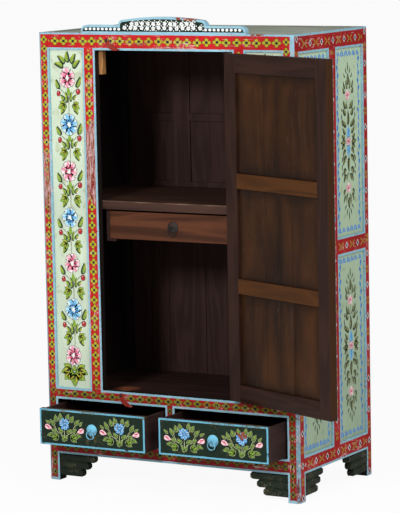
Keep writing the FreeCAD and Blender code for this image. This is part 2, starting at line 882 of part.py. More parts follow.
def face_front(body, place):
    """Turns a body's axis to the front and sets its place."""
    facing = FreeCAD.Rotation(FreeCAD.Vector(1, 0, 0), 90)
    body.Placement = FreeCAD.Placement(FreeCAD.Vector(), facing)
    for letter, value in zip("xyz", place):
        bind(body, f"Placement.Base.{letter}", value)
    return body


def forged_ring(name, centre):
    """A ring of eight-sided wire that stands upright and faces the front."""
    body = doc.addObject("PartDesign::Body", name)
    wire = size["ring_wire_radius"]
    many_sided(body, f"{name}_disc", "Additive", size["ring_radius"] + wire, wire * -1, wire * 2)
    inside = size["ring_radius"] - wire
    hollow = many_sided(body, f"{name}_inside", "Subtractive", inside, wire * -1, wire * 2)
    corners = body.newObject("PartDesign::Chamfer", f"{name}_corners")
    corners.Base = (hollow, flat_ends(hollow.Shape))
    bind(corners, "Size", wire * size["ring_corner_share"])
    body.Tip = corners
    return face_front(body, centre)


def rosette_plate(name, centre):
    """The low domed plate behind a ring's eye."""
    body = doc.addObject("PartDesign::Body", name)
    tall = size["rosette_height"]
    disc = many_sided(body, f"{name}_disc", "Additive", size["rosette_radius"], as_size(0), tall)
    crown = body.newObject("PartDesign::Chamfer", f"{name}_crown")
    crown.ChamferType = "Two distances"
    crown.Base = (disc, flat_ends(disc.Shape)[-1:])
    bind(crown, "Size", tall - size["rosette_rim_height"])
    bind(crown, "Size2", size["rosette_radius"] - size["rosette_crown_radius"])
    body.Tip = crown
    return face_front(body, centre)


door_ring_x = size["door_gap"] - opening_x + size["door_stile_width"] / 2
ring_pull("door", door_ring_x, front, size["door_ring_height"], "door")


# Drawers: a front, two sides, a back and a bottom, all meeting face to face
def drawer(word, x, low, tall, face, depth):
    near, far = sorted((as_size(end) for end in x), key=lambda end: end.value)
    wall = size["drawer_wall"]
    front_back = face + size["drawer_front_thickness"]
    end = face + depth
    side_top = low + tall - size["drawer_side_drop"]
    front_board = block(f"{word}_front_board", (near, far), (face, front_back), (low, low + tall), word)
    subpart(front_board, f"{word}_front")
    sides = [
        block(f"{word}_side_near", (near, near + wall), (front_back, end), (low, side_top)),
        block(f"{word}_side_far", (far - wall, far), (front_back, end), (low, side_top)),
    ]
    subpart(group(f"{word}_side_set", sides, word), f"{word}_sides")
    inside = (near + wall, far - wall)
    subpart(block(f"{word}_back_board", inside, (end - wall, end), (low, side_top), word), f"{word}_back")
    bottom_low_edge = low + size["drawer_bottom_lift"]
    bottom = (bottom_low_edge, bottom_low_edge + size["drawer_bottom_thickness"])
    subpart(block(f"{word}_bottom_board", inside, (front_back, end - wall), bottom, word), f"{word}_bottom")
    ring_pull(word, (near + far) / 2, face, low + tall / 2, word)


drawer_low = bottom_top + size["drawer_floor_gap"]
drawer_inner = divider_x + size["drawer_side_gap"]
drawer_outer = post_x - size["drawer_side_gap"]
for word, side in (("left_drawer", -1), ("right_drawer", 1)):
    span = (drawer_inner * side, drawer_outer * side)
    drawer(word, span, drawer_low, size["drawer_height"], front, size["drawer_depth"])

inner_x = size["inner_drawer_width"] / 2
inner_low = size["inner_drawer_low"]
inner_face = front + size["inner_drawer_setback"]
drawer(
    "inner_drawer",
    (-inner_x, inner_x),
    inner_low,
    size["inner_drawer_height"],
    inner_face,
    size["inner_drawer_depth"],
)


# Runners and guides under the two drawers, from the front rail to the back rail
def drawer_runners():
    length = (frame_back, back_inside)
    top = drawer_low - size["runner_clearance"]
    level = (top - size["runner_height"], top)
    guide = (top, top + size["guide_height"])
    middle = drawer_inner - size["guide_clearance"]
    middle_base = drawer_inner + size["runner_bearing"]
    strips_made = [
        block("middle_runner", (-middle_base, middle_base), length, level),
        block("middle_guide", (-middle, middle), length, guide),
    ]
    for word, side in (("left", -1), ("right", 1)):
        inner = (drawer_outer - size["runner_bearing"]) * side
        strips_made.append(block(f"{word}_runner", (inner, post_x * side), length, level))
        guide_inner = (drawer_outer + size["guide_clearance"]) * side
        strips_made.append(block(f"{word}_guide", (guide_inner, post_x * side), length, guide))
    subpart(group("runner_set", strips_made), "drawer_runners")


drawer_runners()


# Battens that hang the inner drawer under the shelf
def inner_runners():
    length = (inner_face + size["hanger_setback"], back_inside)
    ledge_top = inner_low - size["runner_clearance"]
    ledge_low = ledge_top - size["ledge_thickness"]
    battens = []
    for word, side in (("left", -1), ("right", 1)):
        hanger_inner = inner_x + size["guide_clearance"]
        hanger = (hanger_inner * side, (hanger_inner + size["hanger_thickness"]) * side)
        battens.append(block(f"{word}_hanger", hanger, length, (ledge_low, shelf_low)))
        ledge = ((hanger_inner - size["ledge_bearing"]) * side, hanger_inner * side)
        battens.append(block(f"{word}_ledge", ledge, length, (ledge_low, ledge_top)))
    subpart(group("inner_runner_set", battens), "inner_drawer_runners")


inner_runners()


# Turn hooks: a claw with a round head that turns on a nail
def turn_hook(word):
    body = doc.addObject("PartDesign::Body", f"{word}_hook_body")
    head = size["hook_head_radius"]
    reach = size["hook_length"]
    tip = size["hook_tip_offset"]
    back = bow_centre((tip, -reach), (-head, 0), size["hook_belly"])
    throat = bow_centre((tip, -reach), (head, 0), size["hook_throat"])
    edges = [
        ((head, 0), ((0, 0), True)),
        ((tip, -reach), (throat, False)),
        ((-head, 0), (back, True)),
    ]
    sketch = outline(body, f"{word}_hook_outline", "XZ_Plane", (-head, 0), edges)
    padded(body, sketch, size["hook_thickness"])
    radius = size["nail_radius"] + size["nail_clearance"]
    hole = body.newObject("PartDesign::SubtractiveCylinder", f"{word}_hook_hole")
    bind(hole, "Radius", radius)
    bind(hole, "Height", size["hook_thickness"] * 2)
    facing = FreeCAD.Rotation(FreeCAD.Vector(1, 0, 0), 90)
    hole.Placement = FreeCAD.Placement(FreeCAD.Vector(), facing)
    bind(hole, "Placement.Base.y", size["hook_thickness"] / 2)
    body.Tip = hole
    turn = FreeCAD.Rotation(FreeCAD.Vector(0, -1, 0), size[f"{word}_hook_angle"].value)
    body.Placement = FreeCAD.Placement(FreeCAD.Vector(), turn)
    bind(body, "Placement.Rotation.Angle", size[f"{word}_hook_angle"])
    bind(body, "Placement.Base.x", -size[f"{word}_hook_across"])
    bind(body, "Placement.Base.y", front - size["hook_face_gap"])
    bind(body, "Placement.Base.z", hook_height[word])
    subpart(body, f"{word}_hook")


def bow_centre(first, last, bow):
    """The centre of an arc from first to last that bows out by a stated height to its left."""
    across = last[0] - first[0]
    up = as_size(last[1]) - first[1]
    chord_squared = across * across + up * up
    chord = root(chord_squared)
    radius = (chord_squared / 4 + bow * bow) / (bow * 2)
    offset = (radius - bow) / chord
    middle = ((first[0] + last[0]) / 2, (as_size(last[1]) + first[1]) / 2)
    return (middle[0] + up * offset, middle[1] - across * offset)


turn_hook("top")
turn_hook("bottom")


def nail(word):
    x = -size[f"{word}_hook_across"]
    z = hook_height[word]
    head_y = front - size["hook_face_gap"] - size["hook_thickness"] - size["hook_face_gap"]
    end_y = front + size["nail_depth"]
    shank = drum(f"{word}_nail_shank", (x, end_y, z), size["nail_radius"], end_y - head_y, (0, -1, 0))
    centre = (x, head_y, z)
    head = cone(f"{word}_nail_head", centre, "nail_head_radius", "nail_crown_radius", "nail_head_height")
    return fused(f"{word}_nail", [shank, head])


subpart(group("nail_set", [nail("top"), nail("bottom")]), "hook_nails")


# Check every object and every sub-part, then write one file for each
doc.recompute()
for item in doc.Objects:
    if "Invalid" in item.State or "Error" in item.State:
        raise RuntimeError(f"{item.Label} failed: {item.State}")
for item in subparts:
    if item.Shape.isNull() or not item.Shape.isValid():
        raise RuntimeError(f"{item.Label} has no valid shape")

os.makedirs("parts", exist_ok=True)
for item in subparts:
    item.Shape.exportStep(f"parts/{item.Label}.step")
print(len(subparts), "sub-parts written")
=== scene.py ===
import math
import random

import bmesh
import bpy
from bpy.props import FloatProperty, FloatVectorProperty, PointerProperty
from mathutils import Matrix, Vector


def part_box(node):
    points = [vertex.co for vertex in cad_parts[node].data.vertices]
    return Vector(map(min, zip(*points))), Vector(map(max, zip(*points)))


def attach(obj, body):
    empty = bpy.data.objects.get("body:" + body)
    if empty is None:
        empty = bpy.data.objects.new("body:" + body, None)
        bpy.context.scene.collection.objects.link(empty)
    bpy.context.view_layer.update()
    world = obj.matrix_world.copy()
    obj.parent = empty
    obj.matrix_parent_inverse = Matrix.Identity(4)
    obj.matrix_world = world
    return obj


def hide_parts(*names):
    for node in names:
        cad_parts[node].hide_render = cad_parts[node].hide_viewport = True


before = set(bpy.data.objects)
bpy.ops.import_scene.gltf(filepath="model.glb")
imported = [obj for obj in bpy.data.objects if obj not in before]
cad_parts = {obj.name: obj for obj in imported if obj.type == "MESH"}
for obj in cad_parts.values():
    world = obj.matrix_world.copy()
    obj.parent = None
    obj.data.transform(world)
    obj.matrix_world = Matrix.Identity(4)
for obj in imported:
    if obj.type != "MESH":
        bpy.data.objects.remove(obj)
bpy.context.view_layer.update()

bl_info = {
    "name": "Painted Cabinet",
    "version": (1, 0, 0),
    "blender": (4, 5, 0),
    "location": "3D View > Sidebar > Cabinet",
    "description": "Paints the cabinet, hangs its ring pulls and sets up the studio",
    "category": "Object",
}

MM = 0.001


def shade(red, green, blue):
    """A colour as the eye reads it, 0 to 255, in the linear numbers that shaders use."""
    return tuple((value / 255) ** 2.2 for value in (red, green, blue))


def paint_property(name, about, colour):
    return FloatVectorProperty(
        name=name, description=about, subtype="COLOR", size=3, min=0, max=1, default=shade(*colour)
    )


def length_property(name, about, millimetres):
    return FloatProperty(
        name=name, description=about, unit="LENGTH", min=0, default=millimetres * MM
    )


def angle_property(name, about, degrees):
    return FloatProperty(name=name, description=about, subtype="ANGLE", default=math.radians(degrees))


def power_property(name, about, watts):
    return FloatProperty(name=name, description=about, unit="POWER", min=0, default=watts)


class CabinetColours(bpy.types.PropertyGroup):
    """Colours of the paints, the timber and the iron."""

    red: paint_property("Red", "Paint of the frame", (196, 28, 32))
    deep_red: paint_property("Deep red", "Shadowed streaks in the red paint", (150, 22, 22))
    primer: paint_property("Primer", "Pale ground where paint is rubbed", (218, 176, 172))
    line_blue: paint_property("Line blue", "Lines along the edges", (146, 190, 207))
    petal: paint_property("Petal", "Yellow-green petals of the flower rows", (172, 166, 44))
    rim: paint_property("Rim", "Dark edge of the petals", (92, 54, 22))
    navy: paint_property("Navy", "Hearts of the flower rows", (18, 22, 48))
    olive: paint_property("Olive", "Light halves of the leaves at the sides", (138, 142, 84))
    dash: paint_property("Dash", "Dashes on the side frames", (182, 162, 52))
    pale_leaf: paint_property("Pale leaf", "Rims of the bouquet leaves", (188, 198, 142))
    moss: paint_property("Moss", "Leaves of the bouquets", (78, 102, 34))
    rust: paint_property("Rust", "Places where the paint has gone", (132, 66, 44))
    iron_rust: paint_property("Iron rust", "Rust on hinges and nails", (96, 54, 34))
    # A bright mark: rust, and a painted pool of light on the floor
    floor_rust_and_light: paint_property("Floor rust", "Mark on the floor boards", (150, 88, 58))
    mint: paint_property("Mint", "Ground of the fixed panels", (210, 225, 200))
    side_mint: paint_property("Side mint", "Ground of the side panels", (188, 212, 180))
    leaf: paint_property("Leaf", "Leaves of the garlands", (124, 158, 50))
    dark_leaf: paint_property("Dark leaf", "Veins and outlines of leaves", (42, 56, 34))
    outline: paint_property("Outline", "Dark outlines of the flowers", (60, 62, 66))
    blush: paint_property("Blush", "Ground of the pink blossoms", (240, 206, 206))
    pink: paint_property("Pink", "Strokes in the pink blossoms", (228, 144, 166))
    rose: paint_property("Rose", "Deep strokes in the pink blossoms", (204, 66, 96))
    pale_sky: paint_property("Pale sky", "Ground of the blue blossoms", (190, 222, 232))
    sky: paint_property("Sky", "Strokes in the blue blossoms", (112, 178, 216))
    azure: paint_property("Azure", "Deep strokes in the blue blossoms", (56, 132, 204))
    scroll: paint_property("Scroll", "Scrolls round the side panels", (68, 132, 204))
    berry: paint_property("Berry", "Berries of the garlands", (164, 32, 34))
    stem: paint_property("Stem", "Stalks", (92, 80, 50))
    white: paint_property("White", "White touches", (240, 244, 240))
    bottle: paint_property("Bottle green", "Ground of crest, drawers and feet", (22, 42, 30))
    foot_green: paint_property("Foot green", "Paint of the foot brackets", (32, 42, 30))
    foot_worn: paint_property("Worn foot", "Rubbed places of the foot brackets", (96, 92, 70))
    dark_timber: paint_property("Dark timber", "Back and drawer boxes", (57, 40, 37))
    brown_timber: paint_property("Brown timber", "Inner drawer", (82, 49, 33))
    door_timber: paint_property("Door timber", "Inner panels of the door", (54, 34, 21))
    stile_timber: paint_property("Stile timber", "Stiles and outer rails of the door", (50, 33, 27))
    rail_timber: paint_property("Rail timber", "Middle rails of the door", (72, 44, 21))
    # A darker copy of the dark timber: painted shade on the inner faces and behind the panels
    hidden_timber: paint_property("Hidden timber", "Walls of the inside", (34, 27, 25))
    shelf_timber: paint_property("Shelf timber", "Shelf", (64, 45, 38))
    shelf_edge: paint_property("Shelf edge", "Rubbed front edge of the shelf", (146, 118, 100))
    door_rubs: paint_property("Door rubs", "Rubbed places inside the door", (150, 120, 96))
    pale_timber: paint_property("Pale timber", "Unpainted batten", (158, 112, 70))
    grey_timber: paint_property("Grey timber", "Weathered top boards", (150, 156, 142))
    iron: paint_property("Iron", "Hinges, nails and the inner ring", (52, 48, 46))
    pull_blue: paint_property("Pull blue", "Painted rosettes", (120, 196, 224))
    # Grey over the lower half of the rosettes is also painted shade under the ring
    pull_grey_ring_shade: paint_property("Pull grey", "Strokes over the painted rosettes", (84, 104, 122))


class CabinetOrnament(bpy.types.PropertyGroup):
    """Sizes of the painted ornament."""

    line: length_property("Line width", "Blue line beside an opening", 7.0)
    petal_reach: length_property("Petal reach", "From heart to petal", 8.0)
    petal_radius: length_property("Petal radius", "One round petal", 5.8)
    heart_radius: length_property("Heart radius", "Dark heart of a flower", 4.3)
    post_pitch: length_property("Post pitch", "Flower spacing on upright members", 30.8)
    rail_pitch: length_property("Rail pitch", "Flower spacing on level members", 36.0)
    diamond_width: length_property("Diamond width", "Half width of a diamond", 9.6)
    diamond_height: length_property("Diamond height", "Half height of a diamond", 12.0)
    side_post_pitch: length_property("Upright diamonds", "Spacing on upright members", 105.0)
    side_rail_pitch: length_property("Level diamonds", "Spacing on level members", 79.0)
    blossom: length_property("Blossom", "Width of a garland blossom", 63.0)
    blossom_pitch: length_property("Blossom pitch", "Blossom spacing in a garland", 153.8)
    coat: length_property("Coat", "Thickness of one layer of brushwork", 0.12)
    edge: length_property("Worn edge", "Rounding of the wooden edges", 1.2)


class CabinetStudio(bpy.types.PropertyGroup):
    """Camera and light."""

    heading: angle_property("Heading", "Turn of the camera", 29.96)
    pitch: angle_property("Pitch", "Tilt of the camera", -7.44)
    roll: angle_property("Roll", "Roll of the camera", -1.14)
    lens: FloatProperty(name="Lens", description="Focal length", unit="CAMERA", default=199.65)
    key: power_property("Key", "Large lamp in front", 228.0)
    fill: power_property("Fill", "Lamp on the right", 98.0)
    ambient: FloatProperty(name="Ambient", description="Light from all round", min=0, default=0.34)


class Field:
    """A number that varies over a surface; sums and products of fields become nodes."""

    def __init__(self, recipe, socket):
        self.recipe = recipe
        self.socket = socket

    def math(self, operation, *others, clamp=False):
        node = self.recipe.add("Math", self, *others, operation=operation, use_clamp=clamp)
        return Field(self.recipe, node.outputs[0])

    def __add__(self, other):
        return self.math("ADD", other)

    def __sub__(self, other):
        return self.math("SUBTRACT", other)

    def __mul__(self, other):
        return self.math("MULTIPLY", other)

    def __truediv__(self, other):
        return self.math("DIVIDE", other)

    def size(self):
        return self.math("ABSOLUTE")

    def least(self, other):
        return self.math("MINIMUM", other)

    def most(self, other):
        return self.math("MAXIMUM", other)

    def ramp(self, slope, start, clamp=False):
        return self.math("MULTIPLY_ADD", slope, start, clamp=clamp)

    def opposite(self):
        return self.ramp(-1, 1)

    def under(self, limit, soft=0.3 * MM):
        """1 where the field is below the limit and 0 above it, with a soft edge."""
        return (self - limit).ramp(-0.5 / soft, 0.5, clamp=True)

    def over(self, limit, soft=0.3 * MM):
        """1 where the field is above the limit and 0 below it, with a soft edge."""
        return (self - limit).ramp(0.5 / soft, 0.5, clamp=True)


class NodeTree:
    """The nodes of a material or a world, emptied and filled again."""

    def __init__(self, owner):
        owner.use_nodes = True
        self.tree = owner.node_tree
        self.tree.nodes.clear()

    def add(self, kind, *values, **settings):
        node = self.tree.nodes.new("ShaderNode" + kind)
        for name, value in settings.items():
            setattr(node, name, value)
        for socket, value in zip(node.inputs, values):
            self.feed(socket, value)
        return node

    def feed(self, socket, value):
        if isinstance(value, Field):
            value = value.socket
        if isinstance(value, bpy.types.NodeSocket):
            self.tree.links.new(value, socket)
        elif value is not None:
            if socket.type == "RGBA":
                value = (*value, 1)
            socket.default_value = value


class Recipe(NodeTree):
    """One material being made. Each method adds nodes and gives back what they put out."""

    def __init__(self, name, turned=None):
        self.material = bpy.data.materials.new(name)
        super().__init__(self.material)
        self.spot = self.add("TexCoord").outputs["Object"]
        if turned is not None:
            self.spot = self.turn_back(turned)
        split = self.add("SeparateXYZ", self.spot).outputs
        self.x, self.y, self.z = (Field(self, socket) for socket in split)

    def turn_back(self, turned):
        """Coordinates of a turned piece as they are with the piece in its shut place."""
        undone = turned.inverted()
        place = undone.to_translation()
        angles = tuple(undone.to_euler())
        return self.add("Mapping", self.spot, tuple(place), angles, vector_type="POINT").outputs[0]

    def field(self, node, output=0):
        return Field(self, node.outputs[output])

    def scaled(self, scale):
        """The place on the surface, stretched by a factor along each axis."""
        return self.add("VectorMath", self.spot, scale, operation="MULTIPLY").outputs[0]

    def noise(self, scale, detail, stretch=(1, 1, 1), rough=0.55, distortion=0.0):
        node = self.add("TexNoise", self.scaled(stretch))
        settings = {"Scale": scale, "Detail": detail, "Roughness": rough, "Distortion": distortion}
        for name, value in settings.items():
            node.inputs[name].default_value = value
        return self.field(node)

    def chances(self, seed):
        """Three chance numbers that stay the same over one cell."""
        node = self.add("TexWhiteNoise", noise_dimensions="1D")
        self.feed(node.inputs["W"], seed)
        split = self.add("SeparateColor", node.outputs["Color"])
        return [Field(self, socket) for socket in split.outputs]

    def distance(self, across, up, at):
        corner = self.add("CombineXYZ", across, up)
        node = self.add("VectorMath", corner.outputs[0], (at[0], at[1], 0), operation="DISTANCE")
        return self.field(node, 1)

    def mix(self, factor, under, over):
        """The colour over laid on the colour under where the factor is 1."""
        node = self.add("Mix", data_type="RGBA")
        self.feed(node.inputs[0], factor)
        self.feed(node.inputs[6], under)
        self.feed(node.inputs[7], over)
        return node.outputs[2]

    def darker(self, colour, factor):
        node = self.add("Mix", data_type="RGBA", blend_type="MULTIPLY")
        node.inputs[0].default_value = 1
        self.feed(node.inputs[6], colour)
        grey = self.add("CombineColor", factor, factor, factor)
        self.feed(node.inputs[7], grey.outputs[0])
        return node.outputs[2]

    def finish(self, colour, roughness, height, depth=0.4 * MM, metallic=0.0, specular=0.35):
        shader = self.add("BsdfPrincipled")
        self.feed(shader.inputs["Base Color"], colour)
        self.feed(shader.inputs["Roughness"], roughness)
        shader.inputs["Metallic"].default_value = metallic
        shader.inputs["Specular IOR Level"].default_value = specular
        bump = self.add("Bump")
        bump.inputs["Strength"].default_value = 0.6
        bump.inputs["Distance"].default_value = depth
        self.feed(bump.inputs["Height"], height)
        self.feed(shader.inputs["Normal"], bump.outputs[0])
        self.add("OutputMaterial", shader.outputs[0])
        return self.material


# Places read from the frame
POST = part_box("front_left_post")
TOP_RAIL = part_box("front_top_rail")
MIDDLE_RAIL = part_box("front_middle_rail")
BOTTOM_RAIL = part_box("front_bottom_rail")
RIGHT_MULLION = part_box("right_mullion")
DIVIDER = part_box("drawer_divider")
SIDE_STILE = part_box("right_side_stile")
SIDE_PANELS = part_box("right_side_panels")
FRONT_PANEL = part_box("front_right_panel")
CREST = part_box("crest")
OUTER_X = -POST[0].x
OUTER_Y = -POST[0].y
HEIGHT = POST[1].z
POST_INNER_X = -POST[1].x
SIDE_MIDDLE = (SIDE_PANELS[0].z + SIDE_PANELS[1].z) / 2
SIDE_MIDDLE_HALF = 31 * MM
CHAMFER = 10 * MM

# The door as it is when shut, and its turn to where it stands at rest
DOOR_SWING = math.radians(157)
HINGE = Vector((255.7 * MM, -266.9 * MM, 0))
DOOR_TURN = (
    Matrix.Translation(HINGE) @ Matrix.Rotation(DOOR_SWING, 4, "Z") @ Matrix.Translation(-HINGE)
)
DOOR_WIDTH = (-254 * MM, 254 * MM)
DOOR_LEVELS = (327 * MM, 1441 * MM)
DOOR_PANEL_LEVELS = ((383 * MM, 678 * MM), (726 * MM, 1015 * MM), (1063 * MM, 1381 * MM))
DOOR_STILE = 54 * MM
DOOR_FACE = -254.5 * MM

# How deep paint turns in beside a panel, how deep a painted face reaches, and its soft edge
PANEL_TURN = 7.5 * MM
SKIN = 1 * MM
SIDE_SKIN = 8.5 * MM
CRISP = 0.2 * MM

SIDES = ((-1, "left"), (1, "right"))


def colours():
    return bpy.context.scene.cabinet_colours


def ornament():
    return bpy.context.scene.cabinet_ornament


# Paint on the frame
def outside(across, up, middle, half):
    """How far a place lies outside an oblong, measured square to its sides."""
    sideways = (across - middle[0]).size() - half[0]
    upward = (up - middle[1]).size() - half[1]
    return sideways.most(upward)


def oblong(low, high):
    """Middle and half size of the oblong between two corners."""
    middle = [(a + b) / 2 for a, b in zip(low, high)]
    half = [(b - a) / 2 for a, b in zip(low, high)]
    return middle, half


def wobble(recipe, amount=0.7 * MM, scale=38):
    return (recipe.noise(scale, 2) - 0.5) * (amount * 3)


def flower_row(recipe, along, across, pitch, start, scale=1.0, longer=1.0):
    """A row of four-petalled flowers: where the petals, their dark rims and the hearts are."""
    sizes = ornament()
    steps = (along - start) / pitch
    count = steps.math("FLOOR")
    chance = recipe.chances(count)
    local = (steps - count - 0.5) * (pitch / longer) + (chance[0] - 0.5) * (3 * MM)
    sideways = across + (chance[1] - 0.5) * (2.4 * MM)
    folded = local.size()
    raised = sideways.size()
    reach = sizes.petal_reach * scale
    ends = recipe.distance(folded, raised, (reach, 0))
    wings = recipe.distance(folded, raised, (0, reach))
    uneven = wobble(recipe, 0.7 * MM, 150)
    shape = ends.least(wings) + uneven
    radius = sizes.petal_radius * scale
    petals = shape.under(radius, 0.5 * MM)
    rims = (shape - radius).size().under(0.9 * MM, 0.4 * MM)
    heart = (recipe.distance(folded, raised, (0, 0)) + uneven).under(sizes.heart_radius * scale, 0.5 * MM)
    kept = chance[2].over(0.1, 0.08).ramp(0.25, 0.75)
    return petals * kept, rims * kept * 0.75, heart


def laid_flowers(recipe, colour, row, near=1.0):
    """The flowers of a row painted on a colour."""
    paints = colours()
    petals, rims, hearts = (part * near for part in row)
    # petals duller low down: faded paint, and painted shade under the drawers
    dulled_and_shaded = recipe.mix(recipe.z.under(0.34, 60 * MM) * 0.45, paints.petal, paints.rim)
    colour = recipe.mix(petals, colour, dulled_and_shaded)
    colour = recipe.mix(rims, colour, paints.rim)
    return recipe.mix(hearts, colour, paints.navy), petals


def diamond_row(recipe, along, across, pitch, start, upright):
    """White diamonds with dark hearts, and dashes crossed between them."""
    sizes = ornament()
    steps = (along - start) / pitch
    count = steps.math("FLOOR")
    local = (steps - count - 0.5) * pitch
    flat, tall = (across, local) if upright else (local, across)
    width = flat.size() / sizes.diamond_width
    height = tall.size() / sizes.diamond_height
    spread = width + height
    white = spread.under(1.0, 0.08)
    heart = recipe.distance(width, height, (0, 0)).under(0.5, 0.08)
    place = local.size() - pitch * 0.5
    if upright:
        apart, out, long, thick, slant = 7.5, 5.0, 6.0, 2.8, 0.2
    else:
        apart, out, long, thick, slant = 10.0, 6.2, 8.0, 2.9, 0.75
    lean = place.size() - apart * MM
    lift = across.size() - out * MM
    dash = recipe.distance(lean / (long * MM), (lift - lean * slant) / (thick * MM), (0, 0)).under(1.0, 0.2)
    return white, heart, dash


def rubbed(recipe, wear):
    """Where paint is rubbed away: specks and patches, more of them as wear grows."""
    patches = recipe.noise(16, 3)
    specks = recipe.noise(300, 4, (1, 1, 0.45), rough=0.7)
    rub = specks * 0.62 + patches * 0.38 + wear
    return rub.over(0.635, 0.015)


def chipped(recipe, wear):
    """Larger chips that go down to the wood."""
    chips = recipe.noise(95, 4, rough=0.7, distortion=0.4)
    places = recipe.noise(11, 2)
    return (chips * 0.7 + places * 0.3 + wear).over(0.645, 0.01)


def brushed(recipe, colour, dark, stretch):
    """Paint with streaks left by the brush."""
    streaks = recipe.noise(60, 4, stretch)
    blotches = recipe.noise(9, 2)
    factor = (streaks * 0.7 + blotches * 0.5).over(0.72, 0.3)
    return recipe.mix(factor, colour, dark)


def grained(recipe, timber, grain, figure=10.0, strength=0.5):
    """Timber with growth rings and pores drawn out along the grain."""
    light = tuple(min(1.0, value * (1 + 0.55 * strength)) for value in timber)
    dark = tuple(value * (1 - 0.85 * strength) for value in timber)
    waves = recipe.noise(figure, 2, drawn_out(grain, 0.12), distortion=0.6)
    rings = (waves * 42).math("SINE").ramp(0.5, 0.5)
    pores = recipe.noise(420, 3, drawn_out(grain, 0.03))
    tone = recipe.noise(3.5, 2)
    figure_mix = rings * 0.55 + pores * 0.45
    colour = recipe.mix(figure_mix, dark, light)
    height = pores * 0.7 + rings * 0.3
    return recipe.darker(colour, tone.ramp(0.6, 0.75)), height


def front_lines(x, z):
    """Distance outside the nearest opening of the front frame."""
    middle, half = oblong((0, MIDDLE_RAIL[1].z), (RIGHT_MULLION[0].x, TOP_RAIL[0].z))
    gap = outside(x, z, (0, middle[1]), (RIGHT_MULLION[0].x, half[1]))
    folded = x.size()
    for low, high in (
        (FRONT_PANEL[0].xz, FRONT_PANEL[1].xz),
        ((DIVIDER[1].x, DIVIDER[0].z), (POST_INNER_X, DIVIDER[1].z)),
        ((0, 0), (POST_INNER_X, BOTTOM_RAIL[0].z)),
    ):
        gap = gap.least(outside(folded, z, *oblong(low, high)))
    return gap


def side_lines(y, z):
    """Distance outside the nearest panel of a side frame."""
    folded = (z - SIDE_MIDDLE).size() + SIDE_MIDDLE
    low = SIDE_MIDDLE + SIDE_MIDDLE_HALF
    first = outside(y, folded, *oblong((SIDE_PANELS[0].y, low), (SIDE_STILE[0].y, SIDE_PANELS[1].z)))
    second = outside(y, folded, *oblong((SIDE_STILE[1].y, low), SIDE_PANELS[1].yz))
    foot = outside(y.size(), z, *oblong((0, 0), (SIDE_PANELS[1].y, BOTTOM_RAIL[0].z)))
    return first.least(second).least(foot)


def drawn_out(axis, share):
    """Scale of a pattern that is drawn out along one axis."""
    return tuple(share if letter == axis else 1.0 for letter in "xyz")


def streaked(upright, share):
    """Scale of streaks along an upright member or a level one."""
    return (1, 1, share) if upright else (share, share, 1)


def painted_ground(recipe, axis):
    """Red paint brushed along an axis."""
    paints = colours()
    return brushed(recipe, paints.red, paints.deep_red, drawn_out(axis, 0.15))


def with_lines(recipe, colour, gap, extra):
    """Adds the blue line beside the openings, and any further blue places."""
    line = (gap + wobble(recipe)).under(ornament().line, 0.4 * MM)
    if extra is not None:
        line = line.most(extra)
    line = line * chipped(recipe, 0.03).opposite()
    streaks = recipe.noise(70, 3).over(0.5, 0.2)
    blue = recipe.mix(streaks * 0.55, colours().line_blue, dimmed(colours().line_blue, 0.62))
    return recipe.mix(line, colour, blue), line


def worn_surface(recipe, colour, bare, wear, roughness=0.5, height=None, where=1.0):
    """Puts the rubbed places over a painted colour and ends the material."""
    gone = rubbed(recipe, wear) * where
    colour = recipe.mix(gone * 0.85, colour, bare)
    chips = chipped(recipe, wear * 0.5 - 0.02) * where
    colour = recipe.mix(chips * 0.8, colour, colours().brown_timber)
    gone = gone.most(chips)
    dust = recipe.noise(5, 3)
    colour = recipe.darker(colour, dust.ramp(0.35, 0.83))
    tooth = recipe.noise(300, 3)
    rise = tooth * 0.35 - gone * 0.6
    if height is not None:
        rise = rise + height * 0.4
    return recipe.finish(colour, tooth * 0.25 + roughness, rise, specular=0.22)


def wear_between(field, low, high, amount):
    """More wear on one stretch of a member."""
    return field.over(low, 30 * MM) * field.under(high, 30 * MM) * amount


def front_member(name, along, centre, start, scale=1.0, worn=None, base=0.0):
    """Paint of one rail, stile or mullion of the front frame; along is x or z."""
    sizes = ornament()
    paints = colours()
    recipe = Recipe(name)
    x, z = recipe.x, recipe.z
    upright = along == "z"
    run, across = (z, x - centre) if upright else (x, z - centre)
    pitch = sizes.post_pitch if upright else sizes.rail_pitch
    colour = painted_ground(recipe, along)
    row = flower_row(recipe, run, across, pitch, start, scale, 1.0 if upright else 1.2)
    colour, petals = laid_flowers(recipe, colour, row)
    wear = recipe.noise(7, 2) * 0.16 - 0.06 + base
    if worn is not None:
        low, high, most = worn
        place = wear_between(run, low, high, 1.0)
        if not upright:
            place = place * across.under(-4 * MM, 5 * MM)
        colour = scratched_away(recipe, colour, place * most, upright)
    colour = grimed_and_shaded(recipe, colour)
    colour = scratches(recipe, colour, upright)
    colour, line = with_lines(recipe, colour, front_lines(x, z), z.over(HEIGHT - 5.5 * MM))
    if not upright:
        chips = wear_between(x, 0.31, 0.385, 0.3) * z.over(HEIGHT - 5 * MM) + recipe.noise(60, 3)
        colour = recipe.mix(chips.over(0.72, 0.03), colour, paints.rust)
    colour, face = inner_faces(recipe, colour)
    return worn_surface(recipe, colour, paints.primer, wear, height=petals.most(line), where=face)


def scratched_away(recipe, colour, place, upright):
    """Long pale and rusty streaks where most of the paint has gone."""
    paints = colours()
    stretch = streaked(upright, 0.12)
    streaks = recipe.noise(210, 4, stretch, rough=0.65)
    specks = recipe.noise(340, 3, streaked(upright, 0.4))
    bare = recipe.mix(streaks.over(0.5, 0.06), dimmed(paints.primer, 0.66), paints.rust)
    bare = recipe.mix(recipe.noise(130, 3, stretch).over(0.58, 0.03), bare, dimmed(paints.deep_red, 0.7))
    bare = recipe.mix(specks.over(0.61, 0.02) * 0.8, bare, paints.primer)
    ragged = recipe.noise(70, 4, stretch) * 1.5 + place
    return recipe.mix(ragged.over(1.2, 0.12), colour, bare)


